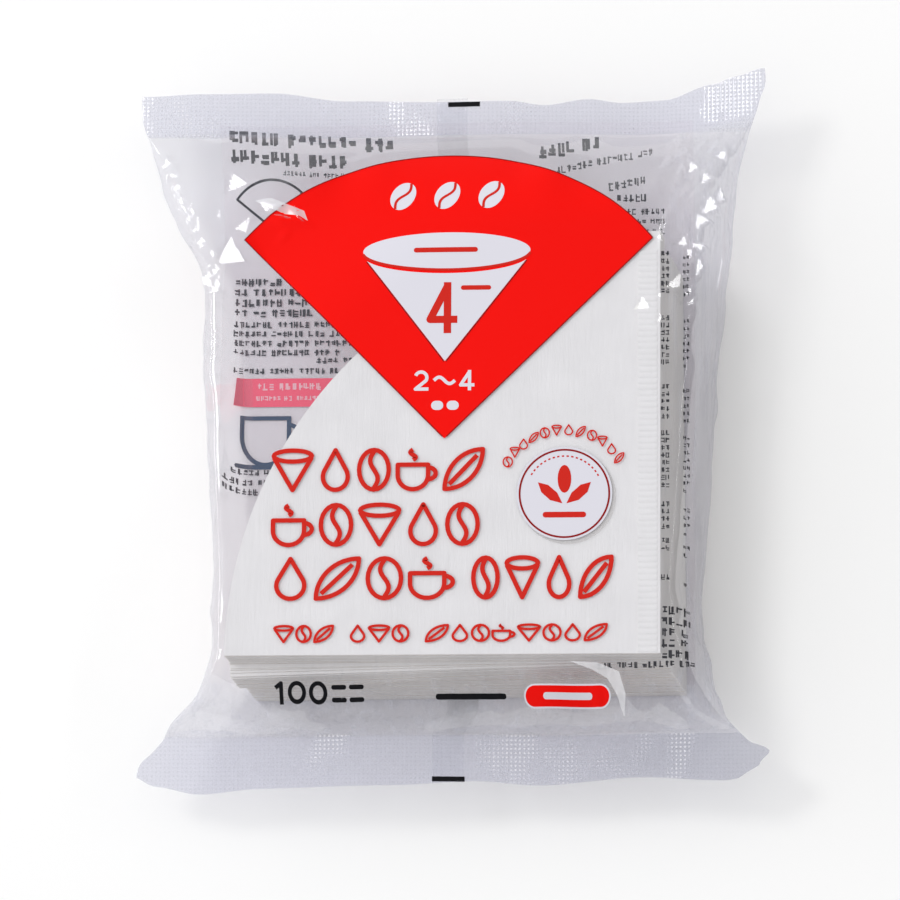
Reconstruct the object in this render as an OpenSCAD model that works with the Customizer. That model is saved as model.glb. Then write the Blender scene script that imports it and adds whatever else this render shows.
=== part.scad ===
// Sealed pillow pack of folded cone coffee filters, lying on its back.
// X runs across the pack, Y from its bottom seal to its top seal, Z up through
// its front. The origin is the middle of the pack on the surface it lies on.

/* [Filters] */
// Length of a folded filter's straight sides, which is the radius of its arc
filter_r = 128; // [110:1:150]
// Thickness of one ply of crepe paper
ply_t = 0.15; // [0.12:0.01:0.2]
// Space between the two plies of one filter
pocket_gap = 0.02; // [0.01:0.01:0.05]
// Space between one filter and the next
sheet_gap = 0.02; // [0.01:0.01:0.05]
// How many filters each bundle holds
filters_per_bundle = 9; // [6:1:11]
// Depth of the paper fold that closes a filter along its bottom side
fold_d = 0.4; // [0.3:0.1:1]

/* [Crimped seam] */
// Width of the ridged band that joins the two plies
seam_w = 5.5; // [4:0.5:8]
// Plain paper between the ridged band and the filter's edge
seam_inset = 1; // [0.5:0.1:2]
// Distance from one ridge of the band to the next
ridge_pitch = 1.8; // [1.4:0.1:3]
// Height of the ridges
ridge_h = 0.15; // [0.1:0.01:0.25]

/* [Stack] */
// How far the stack stands off the middle of the pack, to the right
stack_shift = 2; // [0:0.5:4]
// How far the rearmost filter lies to the right of the front one
lean_x = 6.6; // [0:0.2:8]
// How far the rearmost filter lies below the front one
lean_y = 5.6; // [0:0.2:8]
// Largest turn of the fanned filters about their pointed end, in degrees
fan_angle = 1.8; // [0:0.1:2.4]
// How unevenly the edges of the stack line up
edge_scatter = 0.3; // [0:0.05:0.5]

/* [Film] */
// Thickness of the clear film
film_t = 0.1; // [0.06:0.01:0.2]
// Space between the film and the filters
film_gap = 0.2; // [0.1:0.05:0.5]
// Room between the stack and the film at the left flank
left_room = 8; // [7.5:0.5:14]
// Room between the stack and the film at the right flank
right_room = 7; // [7:0.5:14]
// Room between the top of the stack and the top seal
top_room = 34.8; // [25:0.2:50]
// Room between the bottom of the stack and the bottom seal
bottom_room = 15.1; // [13:0.1:22]
// Reach of the rounded edge between the front or back and a flank
corner_r = 7; // [5:0.5:8]
// Extra width of the flattened film tube at the seals
seal_slack = 7; // [0:0.5:10]
// How much wider the left flank stands at the top of the stack than at its foot
left_spread = 2.5; // [0:0.5:5]
// How much wider the right flank stands at the top of the stack than at its foot
right_spread = 8.5; // [0:0.5:12]
// Depth of the hollow in the front where no filter lies behind it
front_dip = 3.5; // [0:0.5:6]

/* [Seals] */
// Length of the top seal along the pack
top_seal = 11.6; // [8:0.2:16]
// Length of the bottom seal along the pack
bottom_seal = 14.4; // [8:0.2:18]
// Distance from one crimp line of the seals to the next
crimp_pitch = 2; // [1.4:0.1:3]
// Height of the crimp lines
crimp_h = 0.3; // [0.1:0.05:0.5]
// Length over which the film gathers in from the top end
top_gather = 60; // [45:1:70]
// Length over which the film gathers in from the bottom end
bottom_gather = 42; // [32:1:50]
// Where the left flank gathers to the top seal: low values early, high ones late
left_gather = 0.8; // [0.7:0.1:2]
// Where the right flank gathers to the top seal: low values early, high ones late
right_gather = 1.8; // [0.7:0.1:2]
// Where both flanks gather to the bottom seal: low values early, high ones late
foot_gather = 1.3; // [1:0.1:2]
// Height of the pleats beside the seals
pleat_h = 1.1; // [0:0.1:1.5]
// Distance from one pleat to the next
pleat_pitch = 27; // [22:1:40]
// Rise of the top seal's curled right corner
corner_curl = 5; // [0:0.5:8]
// Height of the slow wave in both seals
seal_wave = 1.2; // [0:0.1:2]
// Hair-line between the two layers of a seal
weld_gap = 0.03; // [0.02:0.01:0.05]

/* [Back fin] */
// Width of the fin that closes the film tube along the back
fin_w = 10; // [7:0.5:14]
// Space between the folded fin and the back
fin_gap = 0.05; // [0.03:0.01:0.1]

/* [Hidden] */
$fn = 96;
BUNDLES = 11;

film_colour = [0.86, 0.88, 0.93, 0.35];
paper_colour = [0.93, 0.92, 0.89];

// Stack, from the back up
filter_t = 2 * ply_t + pocket_gap;
sheet_pitch = filter_t + sheet_gap;
filter_count = BUNDLES * filters_per_bundle + 1;
fin_rise = 2 * film_t + fin_gap;
stack_z = fin_rise + film_t + film_gap;
stack_h = (filter_count - 1) * sheet_pitch + filter_t;
pack_h = stack_z + stack_h + ridge_h + film_gap + film_t;

// Places along the pack
pack_l = bottom_seal + bottom_room + lean_y + filter_r + top_room + top_seal;
y_cut_top = pack_l / 2;
y_cut_bottom = -pack_l / 2;
y_seal_top = y_cut_top - top_seal;
y_seal_bottom = y_cut_bottom + bottom_seal;
y_fold_rear = y_seal_bottom + bottom_room;
y_fold_front = y_fold_rear + lean_y;
y_stack_top = y_fold_front + filter_r;
edge_room = 1.2;
y_front_top = y_stack_top + edge_room;
y_front_bottom = y_fold_front - edge_room;
y_back_top = y_stack_top - lean_y / 2;
y_back_bottom = y_fold_rear - 2 * edge_room;

// Places across the pack
x_point_mid = stack_shift + filter_r / 2;
x_point_front = x_point_mid - lean_x / 2;
body_left = filter_r / 2 - stack_shift + left_room;
body_right = filter_r / 2 + stack_shift + right_room;
seal_half = (body_left + body_right + pack_h + seal_slack) / 2;

// Form of the film
z_mid = pack_h / 2;
seal_edge_r = 0.5;
corner_power = 2.4;
top_crown = 2.2;
bottom_crown = 1.7;
back_crown = 1.6;
dip_reach = 40;
wave_pitch = 105;
curl_reach = 40;
fin_side = 4;
fin_root = 0.6;
CORNER_STEPS = 4;
SHEET_STEPS = 7;
TOP_STEPS = 10;
MIDDLE_STEPS = 9;
BOTTOM_STEPS = 7;

function unit(t) = min(1, max(0, t));
function smooth(t) = let (s = unit(t)) s * s * (3 - 2 * s);
function mix(a, b, t) = a + (b - a) * t;
function span(a, b, n) = [for (i = [0:n]) mix(a, b, i / n)];

// How full the film stands at y: 1 over the stack, 0 in the seals
function fullness(y, lower, upper, lower_power) =
    1 - pow(unit((y - upper) / (y_seal_top - upper)), top_crown)
      - pow(unit((lower - y) / (lower - y_seal_bottom)), lower_power);
function front_full(y) = fullness(y, y_front_bottom, y_front_top, bottom_crown);
function back_full(y) = fullness(y, y_back_bottom, y_back_top, back_crown);

// Reach of either flank from the middle of the pack at y
function gather(y, late) =
    max(smooth(pow(unit((y - y_cut_top + top_gather) / top_gather), late)),
        smooth(pow(unit((y_cut_bottom + bottom_gather - y) / bottom_gather),
                   foot_gather)));
function flank(y, body, spread, late) =
    mix(body + spread * unit((y - y_fold_front) / filter_r), seal_half, gather(y, late));

// The hollow beyond the arc of the filters
function dip(x, y) =
    front_dip * smooth((norm([x - x_point_front, y - y_fold_front]) - filter_r - 6)
                       / dip_reach);

// Pleats that run out of the seals, none at the fin
function pleat(x, y) =
    pleat_h * sin(360 * x / pleat_pitch + 60 * sin(2 * x))
    * smooth((abs(x) - fin_w) / pleat_pitch);

// Slow wave of the seals and the curled corner
function seal_lift(x, y) =
    seal_wave * sin(360 * x / wave_pitch + (y > 0 ? 40 : 160))
    + (y > 0 ? corner_curl * smooth((x - seal_half + curl_reach) / curl_reach) : 0);
function lift(x, y) = seal_lift(x, y) * pow(1 - unit(back_full(y)), 2);

// Crimp lines that run across a seal
function saw(d) = let (s = d / crimp_pitch - floor(d / crimp_pitch + 1e-6))
    crimp_h * (1 - abs(2 * s - 1));
function crimp(y) =
    y > y_seal_top ? saw(y - y_seal_top)
    : y < y_seal_bottom ? saw(y_seal_bottom - y) : 0;

// Height of the front and back sheets, drawn in by the offset d
function front_z(x, y, d) =
    let (f = front_full(y))
    z_mid + film_t - d + (pack_h - z_mid - film_t) * f
    + (4 * f * (1 - f)) * pleat(x, y) - dip(x, y) * f + lift(x, y) + crimp(y);
function back_z(x, y, d) =
    let (f = back_full(y))
    (z_mid - film_t) * (1 - f) + d
    - (4 * f * (1 - f)) * pleat(x, y) * (1 - f) + lift(x, y) + crimp(y);

// One quarter of a section's rounded edge, from the sheet to the flank
function corner(side, w, r, z_sheet, z_flank, up) =
    [for (i = [1:CORNER_STEPS - 1])
        let (a = 90 * (up ? i : CORNER_STEPS - i) / CORNER_STEPS)
        [side * (w - r + r * pow(cos(a), 2 / corner_power)),
         mix(z_flank, z_sheet, pow(sin(a), 2 / corner_power))]];

// Closed section of the film tube at y, drawn in by d, seen along +Y. The outer
// section ends with the four points of the fin, which the inner one has not.
function section(y, d) =
    let (r = mix(seal_edge_r, corner_r, smooth(2 * front_full(y))) - d,
         wl = flank(y, body_left, left_spread, left_gather) - d,
         wr = flank(y, body_right, right_spread, right_gather) - d,
         x_clear = fin_w / 2 + fin_side,
         x_over = [-fin_w / 2 - 1, fin_w / 2 - fin_root],
         right = span(x_clear, wr - r, SHEET_STEPS),
         left = span(r - wl, -x_clear, SHEET_STEPS),
         zl = z_mid + lift(-wl, y) + crimp(y),
         zr = z_mid + lift(wr, y) + crimp(y),
         rise = fin_rise * unit(back_full(y)))
    concat(
        [for (x = right) [x, back_z(x, y, d)]],
        corner(1, wr, r, back_z(wr - r, y, d), zr, false),
        [[wr, zr]],
        corner(1, wr, r, front_z(wr - r, y, d), zr, true),
        [for (i = [SHEET_STEPS:-1:0]) [right[i], front_z(right[i], y, d)]],
        [for (i = [1, 0]) [x_over[i], front_z(x_over[i], y, d)]],
        [for (i = [SHEET_STEPS:-1:0]) [left[i], front_z(left[i], y, d)]],
        corner(-1, wl, r, front_z(r - wl, y, d), zl, false),
        [[-wl, zl]],
        corner(-1, wl, r, back_z(r - wl, y, d), zl, true),
        [for (x = left) [x, back_z(x, y, d)]],
        [for (x = x_over) [x, back_z(x, y, d) + rise]],
        d > 0 ? [] : [for (p = [[x_over[1] + fin_root / 2, 2 * film_t],
                                [-fin_w / 2, 2 * film_t],
                                [-fin_w / 2, 0], [fin_w / 2, 0]])
            [p[0], back_z(p[0], y, 0) + rise - fin_rise + p[1]]]);

// The section in space, sheared to follow the leaning stack
function ring(y, d) = [for (p = section(y, d))
    [p[0] - lean_x * (p[1] - z_mid) / pack_h * unit(back_full(y)), y, p[1]]];

// Stations along the pack
function seal_stations(edge, length, sign) =
    [for (i = [1:ceil(2 * length / crimp_pitch - 0.1)])
        edge + sign * min(i * crimp_pitch / 2, length)];
bottom_stations = seal_stations(y_seal_bottom, bottom_seal, -1);
top_stations = seal_stations(y_seal_top, top_seal, 1);
all_stations = concat(
    [for (i = [len(bottom_stations) - 1:-1:0]) bottom_stations[i]],
    span(y_seal_bottom, y_front_bottom, BOTTOM_STEPS),
    [for (i = [1:MIDDLE_STEPS]) mix(y_front_bottom, y_front_top, i / MIDDLE_STEPS)],
    [for (i = [1:TOP_STEPS]) mix(y_front_top, y_seal_top, i / TOP_STEPS)],
    top_stations);

// Points of a section from the right flank to the left one lie in the front
right_flank = SHEET_STEPS + CORNER_STEPS;
left_flank = right_flank + 2 * SHEET_STEPS + 2 * CORNER_STEPS + 3;

// Two triangles of a skin between point j and the next one of its ring. The front
// and the back are split along the same diagonal, so that sealed layers lie parallel.
function tile(a, b, n, front) =
    front ? [[a, b, a + n], [b, b + n, a + n]] : [[a, b, b + n], [a, b + n, a + n]];
function turned(faces) = [for (f = faces) [for (k = [len(f) - 1:-1:0]) f[k]]];
function skin_faces(start, rings, n) =
    [for (i = [0:rings - 2], j = [0:n - 1])
        each tile(start + i * n + j, start + i * n + (j + 1) % n, n,
                  j >= right_flank && j < left_flank)];

// The cut end of the film, a thin band between its outer and its inner outline
function end_faces(outer, inner, n_outer, n_inner) = concat(
    [for (j = [0:n_inner - 2]) [outer + j, inner + j, inner + j + 1, outer + j + 1]],
    [concat([inner + n_inner - 1, inner, outer],
            [for (j = [n_outer - 1:-1:n_inner - 1]) outer + j])]);

// The whole web: outer skin, inner skin and the two cut ends
module film_web() {
    stations = all_stations;
    inset = film_t - weld_gap / 2;
    outer = [for (y = stations) ring(y, 0)];
    inner = [for (y = stations) ring(y, inset)];
    n_outer = len(outer[0]);
    n_inner = len(inner[0]);
    count = len(stations);
    first_inner = n_outer * count;
    polyhedron(
        concat([for (r = outer) each r], [for (r = inner) each r]),
        concat(
            skin_faces(0, count, n_outer),
            turned(skin_faces(first_inner, count, n_inner)),
            end_faces(0, first_inner, n_outer, n_inner),
            turned(end_faces(n_outer * (count - 1), first_inner + n_inner * (count - 1),
                             n_outer, n_inner))),
        convexity = 8);
}

// One web of clear film: tube, crimped end seals and the fin folded flat on the back
module film_bag() {
    color(film_colour) film_web();
}

// A quarter disc with its point at the origin, one side along -X and one along +Y
module quarter(r, h) {
    rotate([0, 0, 90]) rotate_extrude(angle = 90) square([r, h]);
}

// One folded filter: closed by the fold along -X and the seam along +Y, open at the arc
module filter() {
    difference() {
        quarter(filter_r, filter_t);
        translate([-seam_inset - seam_w, fold_d, ply_t]) quarter(filter_r, pocket_gap);
    }
}

// Ridges of the crimped seam, standing on the filter's front
module seam_ridges() {
    seam_l = filter_r - seam_w;
    count = floor(seam_l / ridge_pitch);
    profile = concat(
        [[0, -ply_t / 2]],
        [for (k = [0:count - 1], p = [[0.1, 0], [0.3, 1], [0.7, 1], [0.9, 0]])
            [(k + p[0]) * ridge_pitch, p[1] * ridge_h]],
        [[count * ridge_pitch, -ply_t / 2]]);
    translate([-seam_inset, 0, filter_t])
        rotate([90, 0, -90]) mirror([1, 0, 0])
            linear_extrude(seam_w) polygon(profile);
}

// Turn of filter i, counted from the back: the middle of the stack is fanned
function fan(i) =
    let (f = i / (filter_count - 1))
    fan_angle * (0.25 + 0.75 * smooth((f - 0.45) / 0.12)) * (1 - smooth((f - 0.78) / 0.08));
function scatter(i, turn) = edge_scatter * sin(turn * i);

// Puts filter i in its place in the stack
module placed(i) {
    f = i / (filter_count - 1);
    translate([x_point_mid + lean_x * (0.5 - f) + (f < 1 ? scatter(i, 137.5) : 0),
               y_fold_rear + lean_y * f + (f < 1 ? scatter(i, 222.5) : 0),
               stack_z + i * sheet_pitch])
        rotate([0, 0, fan(i)]) children();
}

module front_filter() {
    color(paper_colour)
    placed(filter_count - 1) union() {
        filter();
        seam_ridges();
    }
}

// One bundle of filters, each a separate folded sheet
module bundle(b) {
    color(paper_colour)
    for (i = [0:filters_per_bundle - 1])
        placed((b - 1) * filters_per_bundle + i) filter();
}

film_bag();
front_filter();
for (b = [1:BUNDLES])
    bundle(b);
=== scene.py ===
"""A sealed clear pack of cone coffee filters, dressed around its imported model.

All working lengths are millimetres in the model's own frame: X across the pack, Y from
the bottom seal to the top seal, Z out of the front. Meshes are made in metres.
"""
import logging
import math
from dataclasses import dataclass, field
from enum import Enum
from typing import Callable, Iterable, Optional, Sequence

import bpy
import numpy as np
from mathutils import Matrix, Vector
from mathutils.bvhtree import BVHTree


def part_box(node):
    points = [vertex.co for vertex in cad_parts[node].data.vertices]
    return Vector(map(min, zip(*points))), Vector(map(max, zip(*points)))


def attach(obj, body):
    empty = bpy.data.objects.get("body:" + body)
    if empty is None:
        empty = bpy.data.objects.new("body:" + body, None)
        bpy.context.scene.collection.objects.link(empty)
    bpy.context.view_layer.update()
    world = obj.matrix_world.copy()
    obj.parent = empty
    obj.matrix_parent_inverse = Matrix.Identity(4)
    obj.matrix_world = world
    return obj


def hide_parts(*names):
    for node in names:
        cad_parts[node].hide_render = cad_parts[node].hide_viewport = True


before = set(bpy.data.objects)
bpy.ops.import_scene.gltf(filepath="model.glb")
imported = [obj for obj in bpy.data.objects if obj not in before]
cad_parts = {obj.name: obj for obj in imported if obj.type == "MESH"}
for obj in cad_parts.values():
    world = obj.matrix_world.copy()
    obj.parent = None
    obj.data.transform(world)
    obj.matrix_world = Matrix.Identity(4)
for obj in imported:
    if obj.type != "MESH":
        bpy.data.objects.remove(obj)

logging.basicConfig(level=logging.INFO, format="%(name)s: %(message)s")
LOG = logging.getLogger("filter_pack")

MM = 0.001
BODY = "root"
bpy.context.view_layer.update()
SEED = 41


def unit(t: np.ndarray) -> np.ndarray:
    """Limits a value to the range from 0 to 1."""
    return np.clip(t, 0.0, 1.0)


def smooth(t: np.ndarray) -> np.ndarray:
    """Smooth step from 0 to 1."""
    s = unit(t)
    return s * s * (3.0 - 2.0 * s)


def mix(a: np.ndarray, b: np.ndarray, t: np.ndarray) -> np.ndarray:
    """Blends a into b as t goes from 0 to 1."""
    return a + (b - a) * t


def node_box(name: str) -> tuple[np.ndarray, np.ndarray]:
    """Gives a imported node's lowest and highest corners in millimetres."""
    low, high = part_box(name)
    return np.array(low) / MM, np.array(high) / MM


def turned(dx: np.ndarray, dy: np.ndarray, angle: float) -> tuple[np.ndarray, np.ndarray]:
    """Splits an offset into its parts along and across a direction in degrees."""
    c, s = math.cos(math.radians(angle)), math.sin(math.radians(angle))
    return dx * c + dy * s, dy * c - dx * s


class Ripple:
    """Smooth random relief on a lattice, the same at every run."""

    CELLS = 64
    OFFSET = (512.3, 512.7)

    def __init__(self, seed: int, pitch: tuple[float, float]) -> None:
        """Draws the lattice.

        Args:
            seed: Seed of the random draw.
            pitch: Lattice step along the first and the second direction.
        """
        self.table = np.random.default_rng(seed).uniform(-1.0, 1.0, (self.CELLS, self.CELLS))
        self.pitch = pitch

    def at(self, x: np.ndarray, y: np.ndarray) -> np.ndarray:
        """Gives the relief, from -1 to 1.

        Args:
            x: Places along the first direction.
            y: Places along the second direction.

        Returns:
            The relief at each place.
        """
        u, v = x / self.pitch[0] + self.OFFSET[0], y / self.pitch[1] + self.OFFSET[1]
        i, j = np.floor(u).astype(int), np.floor(v).astype(int)
        a, b = smooth(u - i), smooth(v - j)
        i, j = i % self.CELLS, j % self.CELLS
        i1, j1 = (i + 1) % self.CELLS, (j + 1) % self.CELLS
        grid = self.table
        return mix(mix(grid[i, j], grid[i1, j], a), mix(grid[i, j1], grid[i1, j1], a), b)


@dataclass(frozen=True)
class Crease:
    """A fold in the film with straight flanks and a sharp back."""

    x: float
    y: float
    angle: float
    length: float
    width: float
    height: float

    def relief(self, x: np.ndarray, y: np.ndarray) -> np.ndarray:
        """Gives how far the crease lifts the film.

        Args:
            x: Places across the pack.
            y: Places along the pack.

        Returns:
            The lift at each place.
        """
        along, across = turned(x - self.x, y - self.y, self.angle)
        taper = unit(1.0 - np.abs(along) * 2.0 / self.length)
        reach = self.width * (0.35 + 0.65 * taper)
        return self.height * taper ** 0.7 * unit(1.1 - np.hypot(across / reach, 0.2))


@dataclass(frozen=True)
class Facet:
    """A flat three-cornered facet in the taut film, tilted towards the key light."""

    x: float
    y: float
    size: float
    turn: float
    stretch: float
    slope: tuple[float, float]
    edge: float = 0.8

    def share(self, x: np.ndarray, y: np.ndarray) -> np.ndarray:
        """Gives where the facet takes over from the film: 1 inside it, 0 outside.

        Args:
            x: Places across the pack.
            y: Places along the pack.

        Returns:
            The share at each place.
        """
        along, across = turned(x - self.x, y - self.y, self.turn)
        along = along / self.stretch
        out = np.maximum(across, np.abs(along) * 0.866 - across * 0.5)
        return smooth((0.29 * self.size + self.edge / 2 - out) / self.edge)

    def laid(self, x: np.ndarray, y: np.ndarray, z: np.ndarray) -> np.ndarray:
        """Gives the film's height with the facet in it.

        Args:
            x: Places across the pack.
            y: Places along the pack.
            z: Height of the film there.

        Returns:
            The new height.
        """
        share = self.share(x, y)
        middle = z.ravel()[np.hypot(x - self.x, y - self.y).argmin()]
        plane = middle + self.slope[0] * (x - self.x) + self.slope[1] * (y - self.y)
        return mix(z, plane, share)


def eased(x: np.ndarray, table: Sequence[tuple[float, float]]) -> np.ndarray:
    """Reads a table of places and values, eased from one to the next.

    Args:
        x: Places to read it at.
        table: Pairs of a place and a value.

    Returns:
        The value at each place.
    """
    places, values = np.array(table).T
    i = np.clip(np.searchsorted(places, x) - 1, 0, len(places) - 2)
    return mix(values[i], values[i + 1], smooth((x - places[i]) / (places[i + 1] - places[i])))


# Pairs of a place and an offset: how far the uneven cut ends stand past a straight cut, along X,
# and how far each flank stands past its plain form, along Y.
TOP_CUT = ((-93, 1.2), (-75, 2.0), (-54, 2.4), (-32, -0.2), (-2, -1.2), (17, -1.2), (27, -2.6),
           (41, -0.6), (50, -1.7), (63, -1.2), (78, 2.8), (85, 4.8), (93, 7.0))
BOTTOM_CUT = ((-93, 2.2), (-87, -0.5), (-74, -2.8), (-56, -1.3), (-16, -0.7), (8, 0.6), (26, -0.6),
              (56, 1.5), (81, 0.2), (93, 2.6))
LEFT_TRIM = ((-105, 0.0), (-92, 0.2), (-87, 1.6), (-79, -1.6), (-40, -1.7), (0, -0.6), (25, 0.7),
             (50, 1.0), (75, 1.4), (90, 0.6), (97, 1.7), (106, 1.4))
RIGHT_TRIM = ((-105, -7.5), (-102, -0.5), (-98, 3.8), (-94, 0.4), (-86, 0.2), (-78, 1.8),
              (-68, 2.7), (-59, 0.3), (-48, -1.1), (25, -1.3), (43, -0.3), (62, 0.5), (90, 0.0),
              (96, 1.0), (100, 1.8), (106, 1.0))


def scattered_creases(seed: int, count: int, low: tuple[float, float], high: tuple[float, float],
                      angle: tuple[float, float], length: tuple[float, float],
                      width: tuple[float, float], height: tuple[float, float]) -> list[Crease]:
    """Strews creases over a patch of the film.

    Args:
        seed: Number of the random draw.
        count: How many creases.
        low: Lowest X and Y of the patch.
        high: Highest X and Y of the patch.
        angle: Range of directions in degrees.
        length: Range of lengths.
        width: Range of widths.
        height: Range of heights.

    Returns:
        The creases.
    """
    rng = np.random.default_rng(SEED + seed)
    return [Crease(rng.uniform(low[0], high[0]), rng.uniform(low[1], high[1]),
                   rng.uniform(*angle), rng.uniform(*length), rng.uniform(*width),
                   rng.uniform(*height))
            for _ in range(count)]


@dataclass
class FilmForm:
    """The shape of the film bag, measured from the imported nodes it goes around."""

    top_seal: float = 11.6
    bottom_seal: float = 14.4
    film_t: float = 0.1
    fin_w: float = 10.0
    fin_gap: float = 0.05
    left_room: float = 8.0
    right_room: float = 7.0
    left_gather: float = 0.8
    right_gather: float = 1.8
    foot_gather: float = 1.3
    corner_r: float = 7.0
    corner_power: float = 2.4
    left_spread: float = 2.5
    right_spread: float = 8.5
    front_dip: float = 3.5
    dip_reach: float = 40.0
    top_gather: float = 60.0
    bottom_gather: float = 42.0
    edge_room: float = 1.2
    top_crown: float = 2.2
    bottom_crown: float = 1.7
    back_crown: float = 1.6
    pleat_h: float = 0.8
    pleat_pitch: float = 27.0
    corner_curl: float = 5.0
    curl_reach: float = 40.0
    seal_wave: float = 1.2
    wave_pitch: float = 105.0
    wave_turns: tuple[float, float] = (160.0, 40.0)
    seal_edge_r: float = 0.5
    dip_start: float = 6.0
    top_cut_fade: tuple[float, float] = (9.0, 18.0)
    foot_cut_fade: tuple[float, float] = (6.0, 16.0)
    fin_ramp: tuple[float, float, float] = (4.0, 2.5, 3.0)
    crease_fade: float = 6.0
    paper_clearance: float = 0.12
    held_margin: float = 2.0
    held_fade: float = 3.0
    creases: list[Crease] = field(default_factory=list)
    facets: list[Facet] = field(default_factory=list)
    flank_creases: list[Crease] = field(default_factory=list)

    def __post_init__(self) -> None:
        """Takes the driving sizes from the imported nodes."""
        low, high = node_box("film_bag")
        front_low, front_high = node_box("front_filter")
        rear_low, rear_high = node_box("filters_1")
        self.y_cut = (low[1], high[1])
        self.pack_h = high[2]
        self.seal_half = (high[0] - low[0]) / 2
        self.filter_r = front_high[0] - front_low[0]
        self.x_point = front_high[0]
        self.y_fold_front = front_low[1]
        self.stack_top = front_high[2]
        self.lean_x = rear_high[0] - front_high[0]
        self.lean_y = front_low[1] - rear_low[1]
        self.z_mid = self.pack_h / 2
        self.y_seal = (low[1] + self.bottom_seal, high[1] - self.top_seal)
        shift = self.x_point + self.lean_x / 2 - self.filter_r / 2
        self.body = {-1: self.filter_r / 2 - shift + self.left_room,
                     1: self.filter_r / 2 + shift + self.right_room}
        self.late = {-1: self.left_gather, 1: self.right_gather}
        self.spread = {-1: self.left_spread, 1: self.right_spread}
        y_top = self.y_fold_front + self.filter_r
        self.front_break = (self.y_fold_front - self.edge_room, y_top + self.edge_room)
        self.back_break = (self.y_fold_front - self.lean_y - 2 * self.edge_room,
                           y_top - self.lean_y / 2)

    def fullness(self, y: np.ndarray, breaks: tuple[float, float], power: float) -> np.ndarray:
        """Gives how full the film stands: 1 over the stack, 0 in the seals.

        Args:
            y: Places along the pack.
            breaks: Where the film leaves the stack, at the foot and the top.
            power: How late it falls off at the foot.

        Returns:
            The fullness at each place.
        """
        lower, upper = breaks
        return unit(1 - unit((y - upper) / (self.y_seal[1] - upper)) ** self.top_crown
                    - unit((lower - y) / (lower - self.y_seal[0])) ** power)

    def front_full(self, y: np.ndarray) -> np.ndarray:
        """Fullness of the front sheet."""
        return self.fullness(y, self.front_break, self.bottom_crown)

    def back_full(self, y: np.ndarray) -> np.ndarray:
        """Fullness of the back sheet."""
        return self.fullness(y, self.back_break, self.back_crown)

    def flank(self, y: np.ndarray, side: int) -> np.ndarray:
        """Gives how far a flank stands from the middle of the pack.

        Args:
            y: Places along the pack.
            side: 1 for the right flank, -1 for the left.

        Returns:
            The reach at each place.
        """
        top = unit((y - self.y_cut[1] + self.top_gather) / self.top_gather)
        foot = unit((self.y_cut[0] + self.bottom_gather - y) / self.bottom_gather)
        gather = np.maximum(smooth(top ** self.late[side]), smooth(foot ** self.foot_gather))
        body = self.body[side] + self.spread[side] * unit((y - self.y_fold_front) / self.filter_r)
        trim = eased(y, RIGHT_TRIM if side > 0 else LEFT_TRIM)
        return mix(body, self.seal_half, gather) + trim

    def lift(self, x: np.ndarray, y: np.ndarray) -> np.ndarray:
        """Slow wave of the seals and the curled corner.

        Args:
            x: Places across the pack.
            y: Places along the pack.

        Returns:
            The lift at each place.
        """
        turn = np.where(y > 0, self.wave_turns[1], self.wave_turns[0])
        wave = self.seal_wave * np.sin(np.radians(360 * x / self.wave_pitch + turn))
        curl = self.corner_curl * smooth((x - self.seal_half + self.curl_reach) / self.curl_reach)
        return (wave + np.where(y > 0, curl, 0.0)) * (1 - self.back_full(y)) ** 2

    def drawn(self, x: np.ndarray, y: np.ndarray) -> np.ndarray:
        """Gives how far the uneven cut ends draw the film along the pack.

        Args:
            x: Places across the pack.
            y: Places along the pack.

        Returns:
            The shift along Y at each place.
        """
        (top_in, top_fade), (foot_in, foot_fade) = self.top_cut_fade, self.foot_cut_fade
        top = eased(x, TOP_CUT) * smooth((y - self.y_seal[1] + top_in) / top_fade)
        foot = eased(x, BOTTOM_CUT) * smooth((self.y_seal[0] + foot_in - y) / foot_fade)
        return top + foot

    def pleat(self, x: np.ndarray, y: np.ndarray) -> np.ndarray:
        """Pleats that run out of the seals, none at the fin."""
        wave = np.sin(np.radians(360 * x / self.pleat_pitch + 60 * np.sin(np.radians(2 * x))))
        return self.pleat_h * wave * smooth((np.abs(x) - self.fin_w) / self.pleat_pitch)

    def dip(self, x: np.ndarray, y: np.ndarray) -> np.ndarray:
        """The hollow of the front beyond the arc of the filters."""
        out = np.hypot(x - self.x_point, y - self.y_fold_front) - self.filter_r - self.dip_start
        return self.front_dip * smooth(out / self.dip_reach)

    def front_z(self, x: np.ndarray, y: np.ndarray) -> np.ndarray:
        """Height of the front sheet with its creases, clear of the filters.

        Args:
            x: Places across the pack, before the lean.
            y: Places along the pack.

        Returns:
            The height at each place.
        """
        f = self.front_full(y)
        z = (self.z_mid + self.film_t + (self.pack_h - self.z_mid - self.film_t) * f
             + 4 * f * (1 - f) * self.pleat(x, y) - self.dip(x, y) * f)
        creased = sum((c.relief(x, y) for c in self.creases), np.zeros_like(z))
        off_seal = np.minimum(self.y_seal[1] - y, y - self.y_seal[0])
        z = z + creased * smooth(off_seal / self.crease_fade)
        lean = self.lean_x * (self.pack_h - self.z_mid) / self.pack_h
        margin, fade = self.held_margin, self.held_fade
        inside = self.filter_r + margin - np.hypot(x - lean - self.x_point, y - self.y_fold_front)
        held = smooth(inside / fade) * smooth((self.x_point + lean + margin - x) / fade)
        held = held * smooth((y - self.y_fold_front + margin) / fade)
        floor = self.stack_top + self.paper_clearance
        z = np.where(z < floor, mix(z, floor, held), z)
        return z + self.lift(x, y)

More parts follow.
